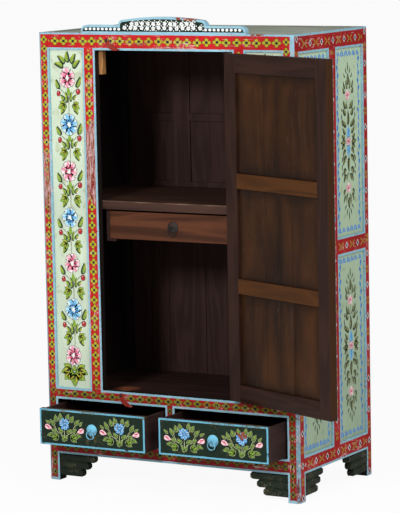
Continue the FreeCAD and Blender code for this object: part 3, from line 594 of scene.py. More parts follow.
def scratches(recipe, colour, upright):
    """Thin pale scratches along a member."""
    thin = recipe.noise(280, 3, streaked(upright, 0.07)) * 0.6 + recipe.noise(22, 2) * 0.4
    return recipe.mix(thin.over(0.615, 0.012) * 0.65, colour, colours().primer)


def bare_timber(recipe, grain):
    """Timber darkened as painted shade on the hidden faces, and weathered timber on top."""
    dark, _ = grained(recipe, colours().hidden_timber, grain)
    grey, _ = grained(recipe, colours().grey_timber, grain)
    return recipe.mix(recipe.z.over(HEIGHT - SKIN), dark, grey)


def inner_faces(recipe, colour):
    """Bare timber on the inner faces; the paint turns in only beside the fixed panels."""
    timber = bare_timber(recipe, "z")
    beside = recipe.x.size().over(FRONT_PANEL[0].x - SKIN) * recipe.z.over(MIDDLE_RAIL[1].z - SKIN)
    deep = beside * PANEL_TURN + SKIN
    face = (recipe.y - deep).under(-OUTER_Y, CRISP)
    return recipe.mix(face, timber, colour), face


def grimed_and_shaded(recipe, colour, side=False):
    """Darkens the low members with painted shade of the drawers and the door and with soiling; darkens side
    members all over as painted shade, with soiled patches.
    """
    patches = recipe.noise(8, 3) * 0.3
    if side:
        # side members: painted shade all over, as their side is turned from the light, with soiled patches
        share = patches + 0.56
    else:
        # front members: painted shade of the drawers and the door below 0.31 m, with soiled patches
        share = (recipe.z.over(0.31, 40 * MM) * 0.46 + patches + 0.38).least(1)
    return recipe.darker(colour, share)


def corner_post(name, back):
    """Paint of a corner post: flowers in front, a blue chamfer, diamonds at the side."""
    sizes = ornament()
    paints = colours()
    recipe = Recipe(name)
    x, y, z = recipe.x, recipe.y, recipe.z
    colour = painted_ground(recipe, "z")
    fold_x, fold_y = x.size(), y.size()
    face_x = (POST_INNER_X + OUTER_X - CHAMFER) / 2 + 1.5 * MM
    face_y = (OUTER_Y - (POST[1].y - POST[0].y) + OUTER_Y - CHAMFER) / 2 + 1.5 * MM
    row = flower_row(recipe, z, fold_x - face_x, sizes.post_pitch, 13.5 * MM, 0.92)
    front_colour, petals = laid_flowers(recipe, colour, row)
    white, heart, dash = diamond_row(recipe, z, fold_y - face_y, sizes.side_post_pitch, 67.5 * MM, True)
    side_colour = recipe.mix(dash, colour, paints.dash)
    side_colour = recipe.mix(heart, recipe.mix(white, side_colour, paints.white), paints.navy)
    at_side = fold_x.over(OUTER_X - SIDE_SKIN, CRISP) * y.over(-OUTER_Y + 9 * MM, CRISP)
    place = wear_between(z, 0.88, 1.12, 0.5) * x.under(0)
    front_colour = scratched_away(recipe, front_colour, place, True)
    facing = recipe.mix(at_side, grimed_and_shaded(recipe, front_colour), grimed_and_shaded(recipe, side_colour, True))
    facing = scratches(recipe, facing, True)
    gap_front = front_lines(x, z) + at_side
    gap_side = side_lines(y, z) + at_side.opposite()
    slant = (fold_x + fold_y).over(OUTER_X + OUTER_Y - CHAMFER - 0.7 * MM, 0.3 * MM)
    ends = z.over(HEIGHT - 6 * MM).most((z + wobble(recipe, 3 * MM, 20)).under(8 * MM))
    low = z.under(0.14, 0.12) * 0.45
    bared = (recipe.noise(110, 4, (1, 1, 0.15)) + low).over(0.95, 0.05) * slant
    blue = (slant * bared.opposite()).most(ends)
    facing, line = with_lines(recipe, facing, gap_front.least(gap_side), blue)
    # chamfer darker low down in patches: painted shade of the door and the drawers, with soiling
    chamfer_shade_and_soil = slant * z.under(0.6, 0.5) * recipe.noise(40, 3)
    facing = recipe.darker(facing, chamfer_shade_and_soil.ramp(-0.9, 1))
    timber = bare_timber(recipe, "z")
    deep = z.over(BOTTOM_RAIL[0].z, SKIN) * PANEL_TURN + SKIN
    shown = (fold_x + deep).over(OUTER_X, 0.3 * MM)
    if not back:
        deep = z.over(MIDDLE_RAIL[1].z - SKIN) * PANEL_TURN + SKIN
        shown = shown.most((y - deep).under(-OUTER_Y, 0.3 * MM)).most(slant)
    facing = recipe.mix(shown, timber, facing)
    if back:
        rear, _ = grained(recipe, paints.brown_timber, "z")
        facing = recipe.mix(y.over(OUTER_Y - 0.8 * MM, CRISP), facing, rear)
    wear = recipe.noise(6, 2) * 0.18 - 0.07 + slant * 0.04
    wear = wear + wear_between(z, 0.8, 1.2, 0.04) * x.under(0) + z.under(80 * MM, 60 * MM) * 0.05
    return worn_surface(recipe, facing, paints.primer, wear, height=petals.most(line), where=shown)


def side_member(name, upright, places, start, pitch):
    """Paint of the rails and the stile of a side frame."""
    paints = colours()
    recipe = Recipe(name)
    x, y, z = recipe.x, recipe.y, recipe.z
    grain = "z" if upright else "y"
    colour = painted_ground(recipe, grain)
    rows = [(z, y - place) if upright else (y, z - place) for place in places]
    for run, across in rows:
        white, heart, dash = diamond_row(recipe, run, across, pitch, start, upright)
        near = across.size().under(16 * MM)
        colour = recipe.mix(dash * near, colour, paints.dash)
        colour = recipe.mix(heart, recipe.mix(white, colour, paints.white), paints.navy)
    colour = grimed_and_shaded(recipe, colour, True)
    colour = scratches(recipe, colour, upright)
    colour, line = with_lines(recipe, colour, side_lines(y, z), z.over(HEIGHT - 7 * MM))
    timber = bare_timber(recipe, grain)
    face = x.size().over(OUTER_X - SIDE_SKIN, CRISP)
    colour = recipe.mix(face, timber, colour)
    wear = recipe.noise(7, 2) * 0.18 - 0.075
    return worn_surface(recipe, colour, paints.primer, wear, height=line, where=face)


def door_lines(x, z):
    """Distance outside the nearest panel of the door."""
    folded = x.size()
    panels = [
        outside(folded, z, *oblong((0, low), (DOOR_WIDTH[1] - DOOR_STILE, high)))
        for low, high in DOOR_PANEL_LEVELS
    ]
    return panels[0].least(panels[1]).least(panels[2])


def flat_paint(name, colour, dark, wear, stretch, bare):
    """Plain brushed paint."""
    recipe = Recipe(name)
    return worn_surface(recipe, brushed(recipe, colour, dark, stretch), bare, wear)


def dimmed(colour, share):
    return tuple(value * share for value in colour)


def panel_paint(name, colour, low, high, inside):
    """The pale ground of the painted panels, darker low down as painted shade with soiling, with bare timber
    behind.
    """
    paints = colours()
    recipe = Recipe(name)
    ground = brushed(recipe, colour, dimmed(colour, 0.86), (1, 1, 0.2))
    stains = recipe.noise(26, 4).over(0.64, 0.05)
    ground = recipe.mix(stains * 0.4, ground, paints.olive)
    # painted shade with soiling: the ground runs from low at the floor to high at the top
    shade_and_soil_factor = recipe.z * ((high - low) / HEIGHT) + recipe.noise(9, 3) * 0.12 + (low - 0.06)
    ground = recipe.darker(ground, shade_and_soil_factor)
    timber, _ = grained(recipe, paints.hidden_timber, "z")
    ground = recipe.mix(inside(recipe), ground, timber)
    return worn_surface(recipe, ground, paints.stem, -0.05, roughness=0.45)


def timber_finish(name, colour, grain, roughness=0.5, figure=10.0, strength=0.5, patch=None):
    """Bare timber with scuffs; patch may repaint a part of it."""
    recipe = Recipe(name)
    tone, height = grained(recipe, colour, grain, figure, strength)
    scuffs = recipe.noise(90, 5, rough=0.7).over(0.7, 0.03)
    tone = recipe.mix(scuffs * 0.2, tone, dimmed(colour, 1.8))
    if patch is not None:
        tone = patch(recipe, tone)
    return recipe.finish(tone, height * 0.2 + roughness, height, specular=0.15)


def iron_finish(name):
    recipe = Recipe(name)
    blotch = recipe.noise(140, 4)
    rust = recipe.noise(60, 3).over(0.62, 0.04)
    tone = recipe.mix(rust * 0.5, colours().iron, colours().iron_rust)
    tone = recipe.darker(tone, blotch.ramp(0.6, 0.7))
    return recipe.finish(tone, blotch * 0.3 + 0.45, blotch, metallic=0.6)


# Work on the meshes
def dress(node, material, edge=None):
    """Gives a node of the frame its material and softens its edges."""
    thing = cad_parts[node]
    thing.data.materials.clear()
    thing.data.materials.append(material)
    if edge is None:
        edge = ornament().edge
    if edge > 0:
        weld = thing.modifiers.new("joined", "WELD")
        weld.merge_threshold = 0.01 * MM
        bevel = thing.modifiers.new("worn edge", "BEVEL")
        bevel.width = edge
        bevel.segments = 2
        bevel.limit_method = "ANGLE"
        bevel.angle_limit = math.radians(35)
    return thing


def new_piece(name, mesh, materials, body, replaced=()):
    """Makes an object of a bmesh, with its place in its mesh, and lets it ride on a body."""
    bmesh.ops.recalc_face_normals(mesh, faces=mesh.faces)
    data = bpy.data.meshes.new(name)
    mesh.to_mesh(data)
    mesh.free()
    for material in materials:
        data.materials.append(material)
    piece = bpy.data.objects.new(name, data)
    bpy.context.scene.collection.objects.link(piece)
    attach(piece, body)
    if replaced:
        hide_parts(*replaced)
    return piece


def node_shape(node):
    """A copy of a node's own shape with its loose triangles joined."""
    mesh = bmesh.new()
    mesh.from_mesh(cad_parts[node].data)
    bmesh.ops.remove_doubles(mesh, verts=mesh.verts, dist=0.01 * MM)
    bmesh.ops.dissolve_limit(mesh, angle_limit=math.radians(1), verts=mesh.verts, edges=mesh.edges)
    return mesh


def canvas(origin, right):
    """An upright face to paint on: its matrix turns across, up and outward into places."""
    right = Vector(right)
    up = Vector((0, 0, 1))
    outward = right.cross(up)
    matrix = Matrix.Identity(4)
    for column, axis in enumerate((right, up, outward, Vector(origin))):
        matrix.col[column][:3] = axis
    return matrix


def round_form(angle):
    return math.cos(angle), math.sin(angle)


def leaf_form(angle):
    return math.cos(angle), 1.3 * math.sin(angle) * abs(math.sin(angle / 2))


def stroke_form(angle):
    return math.cos(angle), math.sin(angle) * abs(math.sin(angle)) ** 0.6


def petal_form(angle):
    notch = max(0.0, math.cos(angle)) ** 6
    return math.cos(angle) * (1 - 0.22 * notch), math.sin(angle)


FORMS = {
    "round": (round_form, 12),
    "leaf": (leaf_form, 12),
    "stroke": (stroke_form, 10),
    "petal": (petal_form, 14),
}


# A mesh with more corners than this is set aside while a piece is painted
FULL_STACK = 1200


class Brushwork:
    """Thin closed touches of paint on one or more flat faces, gathered in one mesh."""

    def __init__(self, paints):
        self.mesh = bmesh.new()
        self.stacks = []
        self.names = list(paints)
        self.face = Matrix.Identity(4)

    def dab(self, form, at, long, wide, turn, paint, bend=0.0, level=1):
        """One touch: long by wide millimetres, its tip towards turn, bend in parts per length."""
        outline, sides = FORMS[form]
        verts = bmesh.ops.create_circle(self.mesh, cap_ends=True, radius=1, segments=sides)["verts"]
        for vert in verts:
            along, across = outline(math.atan2(vert.co.y, vert.co.x))
            vert.co = (along * long / 2, across * wide / 2 + bend * long * along * along, 0)
        spin = Matrix.Rotation(math.radians(turn), 4, "Z")
        place = Matrix.Translation((at[0] * MM, at[1] * MM, 0)) @ spin @ Matrix.Scale(MM, 4)
        bmesh.ops.transform(self.mesh, matrix=self.face @ place, verts=verts)
        grown = bmesh.ops.extrude_face_region(self.mesh, geom=list(verts[0].link_faces))
        lifted = [item for item in grown["geom"] if isinstance(item, bmesh.types.BMVert)]
        outward = self.face.to_3x3() @ Vector((0, 0, 1))
        bmesh.ops.translate(self.mesh, vec=outward * (ornament().coat * level), verts=lifted)
        index = self.names.index(paint)
        for vert in verts + lifted:
            for face in vert.link_faces:
                face.material_index = index
        if len(self.mesh.verts) > FULL_STACK:
            self.put_by()

    def put_by(self):
        """Sets finished touches aside, since a small mesh is quicker to work on."""
        stack = bpy.data.meshes.new("touches")
        self.mesh.to_mesh(stack)
        self.mesh.clear()
        self.stacks.append(stack)

    def outlined(self, form, at, long, wide, turn, paint, dark, level=1, rim=2.2):
        self.dab(form, at, long + rim, wide + rim, turn, dark, level=level)
        self.dab(form, at, long, wide, turn, paint, level=level + 1)

    def finish(self, name, body, slot):
        self.put_by()
        for stack in self.stacks:
            self.mesh.from_mesh(stack)
            bpy.data.meshes.remove(stack)
        materials = [brush_paint(paint) for paint in self.names]
        return new_piece(name, self.mesh, materials, body)


def brush_paint(name):
    """Material of one brushed colour, made once."""
    made = bpy.data.materials.get("brushed_" + name)
    if made is None:
        colour = tuple(getattr(colours(), name))
        recipe = Recipe("brushed_" + name)
        streaks = recipe.noise(220, 3)
        pale = tuple(min(1.0, value * 1.25 + 0.03) for value in colour)
        tone = recipe.mix(streaks.over(0.52, 0.16), dimmed(colour, 0.8), pale)
        made = recipe.finish(tone, streaks * 0.2 + 0.42, streaks, CRISP)
    return made


def reach(at, turn, distance):
    """The place at a distance and a direction in degrees from another place."""
    angle = math.radians(turn)
    return at[0] + distance * math.cos(angle), at[1] + distance * math.sin(angle)


# Garlands of the front panels
PINKS = ("blush", "pink", "rose")
BLUES = ("pale_sky", "sky", "azure")
GARLAND_PAINTS = (
    "outline", *PINKS, *BLUES, "white", "leaf", "dark_leaf", "berry", "stem", "petal",
)


def blossom(art, at, width, pale, ground, deep, chance):
    """A loose blossom, taller than wide: pale petals, brushed strokes, dark touches, a white heart."""
    petals = chance.choice((6, 7))
    lean = chance.uniform(0, 60)

    def spot(turn, far):
        across, up = reach((0, 0), turn, far * width)
        return at[0] + across * 0.96, at[1] + up * 1.16

    for item in range(petals):
        turn = lean + item * 360 / petals + chance.uniform(-8, 8)
        far = chance.uniform(0.29, 0.34)
        size = width * chance.uniform(0.38, 0.46)
        art.dab("petal", spot(turn, far), size * 1.07, size * 1.06, turn, "outline", level=1)
        art.dab("petal", spot(turn, far - 0.008), size, size * 0.97, turn, pale, level=2)
        shifted = turn + chance.uniform(-12, 12)
        art.dab("leaf", spot(shifted, far), width * 0.3, width * 0.13, shifted + 180, ground, level=3)
        art.dab("stroke", spot(turn - 18, far - 0.02), width * 0.3, width * 0.07, turn - 10, ground, 0.1, 4)
        art.dab("stroke", spot(turn + 8, 0.2), width * 0.2, width * 0.07, turn + 12, deep, 0.1, 5)
        edge = spot(turn + 14, far + 0.09)
        art.dab("stroke", edge, width * 0.16, width * 0.05, turn + 80, "white", -0.1, 5)
        notch = turn + 180 / petals
        art.dab("stroke", spot(notch, 0.44), width * 0.13, width * 0.03, notch + 30, "outline", 0.12, 6)
    art.dab("round", at, width * 0.7, width * 0.56, 90, pale, level=2)
    art.dab("round", at, width * 0.17, width * 0.17, 0, "white", level=5)
    for turn in range(20, 380, 120):
        art.dab("round", reach(at, turn, width * 0.07), width * 0.028, width * 0.028, 0, "stem", level=6)


def leaf_touch(art, at, long, wide, turn, bend, bright):
    """A leaf brushed in dark green with a bright half and a yellow light."""
    art.dab("leaf", at, long, wide, turn, "dark_leaf", bend, 1)
    half = reach(reach(at, turn + 90 * bright, wide * 0.16), turn, long * 0.06)
    art.dab("leaf", half, long * 0.86, wide * 0.58, turn + 3 * bright, "leaf", bend, 2)
    light = reach(reach(at, turn + 90 * bright, wide * 0.24), turn, long * 0.12)
    art.dab("stroke", light, long * 0.46, wide * 0.2, turn + 4 * bright, "petal", bend, 3)


def lobes(art, at, size, turn, bright=1):
    """A three-lobed leaf: three short leaves from one foot."""
    for lean, share in ((-50, 0.78), (50, 0.78), (0, 1.0)):
        long = size * share
        middle = reach(at, turn + lean, long * 0.42)
        art.dab("leaf", middle, long, long * 0.68, turn + lean, "dark_leaf", 0.0, 1)
        art.dab("leaf", reach(middle, turn + lean, 1), long * 0.88, long * 0.54, turn + lean, "leaf", 0.0, 2)
        side = reach(middle, turn + lean + 90 * bright, long * 0.12)
        art.dab("stroke", side, long * 0.5, long * 0.14, turn + lean, "petal", 0.0, 3)
    art.dab("stroke", reach(at, turn, size * 0.3), size * 0.55, size * 0.07, turn, "dark_leaf", 0.0, 4)


def garland(art, top, count, seed):
    """The vertical garland: a fan on top, blossoms in turn pink and blue, three leaves below."""
    sizes = ornament()
    chance = random.Random(seed)
    width = sizes.blossom / MM
    pitch = sizes.blossom_pitch / MM
    for across, up, turn in ((-31, 44, 164), (-21, 62, 138), (1, 70, 90), (24, 65, 60), (36, 48, 40)):
        side = 1 if across > 0 else -1
        leaf_touch(art, (across, top + up), 40, 21, turn, -0.08 * side, side)
    for item in range(count):
        centre = (3 * math.sin(item * 1.7), top - item * pitch)
        tints = BLUES if item % 2 else PINKS
        if item < count - 1:
            under_blossom(art, centre, chance)
        blossom(art, centre, width + chance.uniform(-2, 3), *tints, chance)
    foot = top - (count - 1) * pitch
    for side in (-1, 1):
        lobes(art, (side * 14, foot - 46), 46, 90 - side * 112, side)
        lobes(art, (side * 20, foot - 60), 36, 90 - side * 142, side)
    lobes(art, (0, foot - 62), 50, -90)
    art.outlined("round", (0, foot - 45), 14, 17, 0, "leaf", "dark_leaf", level=5)
    art.dab("stroke", (-2, foot - 44), 9, 3, 90, "petal", level=7)


def under_blossom(art, centre, chance):
    """Leaves, berries and stalks between one blossom and the next."""
    x, z = (value + chance.uniform(-1.5, 1.5) for value in centre)
    art.dab("stroke", (x + 3, z - 84), 100, 2.6, 91, "stem", 0.02)
    art.dab("stroke", (x - 22, z - 43), 36, 2.2, 140, "outline", 0.1)
    art.dab("stroke", (x + 24, z - 45), 36, 2.2, 44, "outline", -0.1)
    leaf_touch(art, (x - 40, z - 22), 36, 19, 112 + chance.uniform(-6, 6), -0.06, 1)
    leaf_touch(art, (x + 43, z - 14), 42, 19, 74 + chance.uniform(-6, 6), 0.05, -1)
    for across, up, long, wide in ((-36, -52, 18, 14), (40, -45, 19, 16)):
        berry = (x + across, z + up)
        art.outlined("round", berry, long, wide, 84, "berry", "outline", rim=2.4)
        art.dab("stroke", (berry[0] - 1.5, berry[1] + 4), 6, 1.8, 70, "blush", level=3)
    art.dab("leaf", (x + 2, z - 44), 30, 14, 95, "leaf", level=2)
    leaf_touch(art, (x - 5, z - 64), 40, 14, 94 + chance.uniform(-4, 4), 0.05, 1)
    leaf_touch(art, (x + 11, z - 62), 36, 12, 84 + chance.uniform(-4, 4), -0.04, -1)
    leaf_touch(art, (x - 20, z - 65), 25, 15, 124, 0.05, 1)
    leaf_touch(art, (x + 25, z - 63), 23, 13, 58, -0.08, -1)
    lobes(art, (x - 12, z - 88), 34, 202 + chance.uniform(-8, 8), -1)
    leaf_touch(art, (x - 22, z - 110), 27, 17, 244, 0.05, -1)
    lobes(art, (x + 22, z - 87), 31, -30 + chance.uniform(-8, 8), 1)
    leaf_touch(art, (x + 31, z - 109), 27, 17, -62, -0.05, 1)
    art.dab("stroke", (x + 30, z - 70), 20, 3.4, 60, "blush", 0.1, 2)
    art.dab("stroke", (x - 30, z - 74), 18, 2.2, 76, "blush", 0.1, 2)


def door_posy(art, chance):
    """Three blossoms in a row among leaves and berries, for one outer panel of the door."""
    for item, across in enumerate((-112, 0, 112)):
        tints = BLUES if item % 2 else PINKS
        centre = (across, 12 if item % 2 else -10)
        for turn in range(28, 388, 45):
            lean = turn + chance.uniform(-9, 9)
            leaf_touch(art, reach(centre, lean, 50), 36, 18, lean, 0.05, 1 if turn % 2 else -1)
        for turn in (68, 112, 248, 292):
            art.outlined("round", reach(centre, turn, 62), 16, 14, turn, "berry", "outline", rim=2.4)
        blossom(art, centre, 62, *tints, chance)


# Sprays and scrolls of the side panels
SPRAY_PAINTS = ("dark_leaf", *PINKS, "scroll", "sky", "azure", "olive", "stem")


def curl(art, at, size, lean, chance):
    """A small brushed loop of two bent strokes, open at its foot, with a hook."""
    left = (at[0] - size * 0.27, at[1])
    right = (at[0] + size * 0.27, at[1] + chance.uniform(-1.5, 1.5))
    art.dab("stroke", left, size, size * 0.38, lean, "scroll", -0.24)
    art.dab("stroke", right, size * chance.uniform(0.7, 0.95), size * 0.38, lean, "scroll", 0.26)
    hook = (at[0] + size * 0.5, at[1] - size * 0.3)
    art.dab("stroke", hook, size * 0.5, size * 0.2, lean - 70, "scroll", 0.2)


def scroll_border(art, width, height, chance):
    """Small blue scrolls along the four edges of a panel."""
    inset = 19
    for side in (-1, 1):
        count = max(2, round((width - inset) / 26))
        for item in range(count):
            across = -width / 2 + inset * 0.5 + (item + 0.5) * (width - inset) / count
            place = (across + chance.uniform(-1.5, 1.5), side * (height / 2 - inset))
            curl(art, place, 21 + chance.uniform(-2, 2), 90 + chance.uniform(-10, 10), chance)
        rows = round((height - 3 * inset) / 24)
        for item in range(rows):
            up = -height / 2 + 1.5 * inset + (item + 0.5) * (height - 3 * inset) / rows
            place = (side * (width / 2 - inset), up)
            way = 1 if item % 2 else -1
            lean = 90 + chance.uniform(-12, 12)
            art.dab("stroke", place, 27, 8.5, lean, "scroll", way * 0.2)
            if chance.random() < 0.7:
                art.dab("stroke", (place[0] - way * 7, up + 3), 16, 6.5, lean, "scroll", way * -0.3)


def comma(art, at, long, wide, turn, bright):
    """One dark olive touch with a lighter half."""
    art.dab("leaf", at, long, wide, turn, "dark_leaf", 0.05 * bright)
    half = reach(at, turn + 90 * bright, wide * 0.2)
    art.dab("leaf", half, long * 0.72, wide * 0.34, turn, "olive", 0.05 * bright, 2)


def tuft(art, at, size, count):
    """A loose pink flower of short strokes."""
    for item in range(count):
        turn = item * 360 / count + 20
        tint = "blush" if item % 3 == 1 else "pink"
        art.dab("petal", reach(at, turn, size * 0.28), size * 0.42, size * 0.34, turn, tint, level=2)
        art.dab("stroke", reach(at, turn, size * 0.26), size * 0.26, size * 0.1, turn + 12, "blush", 0.1, 3)
    art.dab("round", at, size * 0.2, size * 0.2, 0, "rose", level=3)


def spray(art, chance):
    """A stalk of leaves and strokes, the same upwards and downwards from its middle."""
    art.dab("stroke", (0, 0), 430, 2.0, 90, "stem")
    for end in (-1, 1):
        up = 90 * end
        art.outlined("leaf", (0, end * 31), 40, 24, up, "sky", "scroll", rim=2)
        art.dab("stroke", (3, end * 30), 26, 6, up, "azure", 0.04, 3)
        comma(art, (0, end * 78), 50, 19, up, 1)
        comma(art, (0, end * 204), 40, 19, up, 1)
        art.dab("stroke", (0, end * 243), 32, 6.5, up, "dark_leaf")
        tuft(art, (-3, end * 152), 38, 5)
        for side in (-1, 1):
            for height, out, long, wide, angle in (
                (16, 38, 26, 16, 62), (-2, 40, 34, 17, 88), (34, 33, 30, 16, 40), (58, 30, 40, 18, 44),
                (60, 45, 26, 9, 30), (97, 29, 30, 19, 34), (122, 27, 34, 17, 30), (118, 12, 30, 8, 14),
                (166, 32, 24, 15, 30), (185, 30, 30, 12, 24), (188, 14, 34, 10, 14),
            ):
                place = (side * out + chance.uniform(-2, 2), end * height + chance.uniform(-3, 3))
                turn = up - side * end * (angle + chance.uniform(-7, 7))
                comma(art, place, long, wide, turn, side * end)
            curve = side * end * 0.25
            for height, out, long, angle in (
                (82, 48, 24, 10), (104, 46, 16, 24), (214, 26, 20, 36), (230, 15, 24, 20),
            ):
                turn = up - side * end * angle
                art.dab("stroke", (side * out, end * height), long, 6.4, turn, "dark_leaf", curve)
    tuft(art, (0, 0), 36, 6)


# Bouquets of the drawers
BOUQUET_PAINTS = ("white", "leaf", "moss", "pale_leaf", *PINKS, *BLUES, "rust")


def pale_leaf(art, at, long, wide, turn):
    art.outlined("leaf", at, long, wide, turn, "moss", "pale_leaf", rim=1.9)
    art.dab("stroke", reach(at, turn, 1), long * 0.66, wide * 0.3, turn + 6, "leaf", 0.05, 3)


def bouquet(art, x, foot, chance):
    """A spray of a blue flower and two pink buds among pale-edged leaves."""
    heart = (x, foot + 61)
    for side in (-1, 1):
        for across, up, long, lean, bend in (
            (26, 32, 60, 54, 0.12), (12, 22, 44, 18, 0.05), (38, 52, 50, 36, -0.1), (20, 70, 36, 22, 0.1),
        ):
            turn = 90 - side * lean
            art.dab("stroke", (x + side * across, foot + up), long, 1.5, turn, "pale_leaf", side * bend)
        bud = (x + side * 62, foot + 43 + chance.uniform(-3, 3))
        lean = 90 - side * (72 + chance.uniform(-8, 8))
        art.outlined("leaf", bud, 27, 16, lean + 180, "blush", "pink", rim=2)
        art.dab("stroke", (bud[0] + side * 3, bud[1] + 3), 19, 5, lean, "rose", 0.1, 3)
        art.dab("stroke", (bud[0] - side * 2, bud[1] - 3), 15, 5, lean, "pink", -0.1, 3)
        lobe = (x + side * 27, foot + 13)
        for angle, long, wide in ((34, 23, 14), (74, 31, 17), (112, 23, 13)):
            turn = 90 - side * (angle + chance.uniform(-6, 6))
            pale_leaf(art, reach(lobe, turn, long * 0.42), long, wide, turn)
        for across, up, long, wide, angle in (
            (56, 22, 23, 12, 106), (48, 66, 25, 13, 36), (31, 78, 22, 14, 20), (66, 62, 18, 8, 54),
            (18, 36, 22, 13, 50), (14, 86, 20, 12, 14), (40, 38, 18, 11, 62),
        ):
            place = (x + side * across + chance.uniform(-3, 3), foot + up + chance.uniform(-3, 3))
            pale_leaf(art, place, long, wide, 90 - side * (angle + chance.uniform(-12, 12)))
    art.dab("stroke", (x, foot + 22), 48, 2.0, 90, "pale_leaf")
    pale_leaf(art, (x - 5, foot + 12), 22, 10, 112)
    pale_leaf(art, (x + 6, foot + 14), 20, 10, 64)
    for item in range(8):
        turn = 15 + item * 45 + chance.uniform(-9, 9)
        place = reach(heart, turn, 12 + chance.uniform(-1, 3))
        art.dab("petal", place, 17, 11, turn, "azure" if item % 2 else "sky", level=2)
        art.dab("stroke", place, 12, 3.4, turn + 14, "sky" if item % 2 else "azure", level=3)
        art.dab("stroke", reach(heart, turn + 22, 13), 11, 1.6, turn, "white", level=4)
    art.dab("round", heart, 8, 8, 0, "azure", level=4)
    art.dab("round", heart, 3, 3, 0, "white", level=5)


# Pulls: sizes of the ring, the rosette and its eye, and where they hang on the shut cabinet
RING_RADIUS = 14 * MM
RING_WIRE = 1.6 * MM
ROSETTE_RADIUS = 20 * MM
ROSETTE_HEIGHT = 5.4 * MM
EYE_REACH = 11 * MM
EYE_RADIUS = 3.3 * MM
EYE_WIRE = 1.1 * MM
STALK_LENGTH = EYE_REACH - 3 * MM
STALK_RADII = (2.6 * MM, 2.0 * MM)
DRAWER_PULL_UP = 207 * MM
DOOR_PULL = (-227 * MM, -OUTER_Y, 963 * MM)
LYING = Matrix.Rotation(math.radians(90), 4, "X")


def linked(verts, kind):
    """The edges or faces that meet at some corners."""
    return list({item for vert in verts for item in getattr(vert, kind)})


def wire_loop(mesh, start, wire, sides, centre, axis, steps):
    """A ring of round wire: a circle, put in its place by a matrix, spun about an axis."""
    verts = bmesh.ops.create_circle(mesh, cap_ends=False, radius=wire, segments=sides)["verts"]
    bmesh.ops.transform(mesh, matrix=start, verts=verts)
    bmesh.ops.spin(
        mesh, geom=verts + linked(verts, "link_edges"), cent=centre, axis=axis, dvec=(0, 0, 0),
        angle=math.tau, steps=steps, use_merge=True, use_duplicate=False,
    )


def domed_rosette(mesh, centre, radius, height):
    """A low dome that stands on the face behind it."""
    verts = bmesh.ops.create_uvsphere(mesh, u_segments=32, v_segments=16, radius=1)["verts"]
    squash = Matrix.Diagonal((radius, height, radius, 1))
    bmesh.ops.transform(mesh, matrix=Matrix.Translation(centre) @ squash, verts=verts)
    geometry = verts + linked(verts, "link_edges") + linked(verts, "link_faces")
    cut = bmesh.ops.bisect_plane(
        mesh, geom=geometry, dist=0.001 * MM, plane_co=centre, plane_no=(0, 1, 0), clear_outer=True
    )
    rim = [item for item in cut["geom_cut"] if isinstance(item, bmesh.types.BMEdge)]
    bmesh.ops.edgenet_fill(mesh, edges=rim)


def turned_piece(name, mesh, turn, material, body, replaced):
    """Turns a smooth piece to its place and makes it."""
    bmesh.ops.transform(mesh, matrix=turn, verts=mesh.verts)
    piece = new_piece(name, mesh, [material], body, [replaced])
    for polygon in piece.data.polygons:
        polygon.use_smooth = True


def ring_pull(word, place, turn, material):
    """Rosette, eye and ring that replace the plain ones of the frame."""
    place = Vector(place)
    rosette = bmesh.new()
    domed_rosette(rosette, place, ROSETTE_RADIUS, ROSETTE_HEIGHT)
    wide, thin = STALK_RADII
    stalk = bmesh.ops.create_cone(
        rosette, cap_ends=True, segments=12, radius1=wide, radius2=thin, depth=STALK_LENGTH
    )
    middle = Matrix.Translation(place + Vector((0, -STALK_LENGTH / 2, 0)))
    bmesh.ops.transform(rosette, matrix=middle @ LYING, verts=stalk["verts"])
    eye = place + Vector((0, -EYE_REACH, 0))
    start = Matrix.Translation(eye + Vector((0, 0, EYE_RADIUS))) @ LYING
    wire_loop(rosette, start, EYE_WIRE, 8, eye, (1, 0, 0), 20)
    turned_piece(f"{word}_rosette", rosette, turn, material, word, f"{word}_pull_rosette")
    ring = bmesh.new()
    centre = eye - Vector((0, 0, RING_RADIUS))
    start = Matrix.Translation(centre + Vector((RING_RADIUS, 0, 0)))
    wire_loop(ring, start, RING_WIRE, 14, centre, (0, 1, 0), 48)
    turned_piece(f"{word}_ring", ring, turn, material, f"{word}_ring", f"{word}_pull_ring")


class CABINET_OT_front_frame(bpy.types.Operator):
    """Paint the posts, rails and mullions of the front"""

    bl_idname = "cabinet.front_frame"
    bl_label = "Front frame"

    def execute(self, context):
        shown_top = (TOP_RAIL[0].z + ornament().line + HEIGHT - 5.5 * MM) / 2
        for word, middle, start, worn, base in (
            ("top", shown_top, -464.5 * MM, (-0.18, 0.34, 0.32), 0.01),
            ("middle", (MIDDLE_RAIL[0].z + MIDDLE_RAIL[1].z) / 2, 193 * MM, None, 0.01),
            ("bottom", (BOTTOM_RAIL[0].z + BOTTOM_RAIL[1].z) / 2, 193 * MM, None, -0.01),
        ):
            paint = front_member(f"{word}_rail_paint", "x", middle, start, worn=worn, base=base)
            dress(f"front_{word}_rail", paint)
        dress("drawer_divider", front_member("divider_paint", "z", 0, 160 * MM, 0.75))
        for side, word in SIDES:
            centre = side * (RIGHT_MULLION[0].x + RIGHT_MULLION[1].x) / 2
            worn = (0.95, 1.2, 0.85) if word == "left" else None
            paint = front_member(f"{word}_mullion_paint", "z", centre, 19.5 * MM, worn=worn)
            dress(f"{word}_mullion", paint)
            for place in ("front", "back"):
                node = f"{place}_{word}_post"
                dress(node, corner_post(f"{node}_paint", place == "back"))
        return {"FINISHED"}


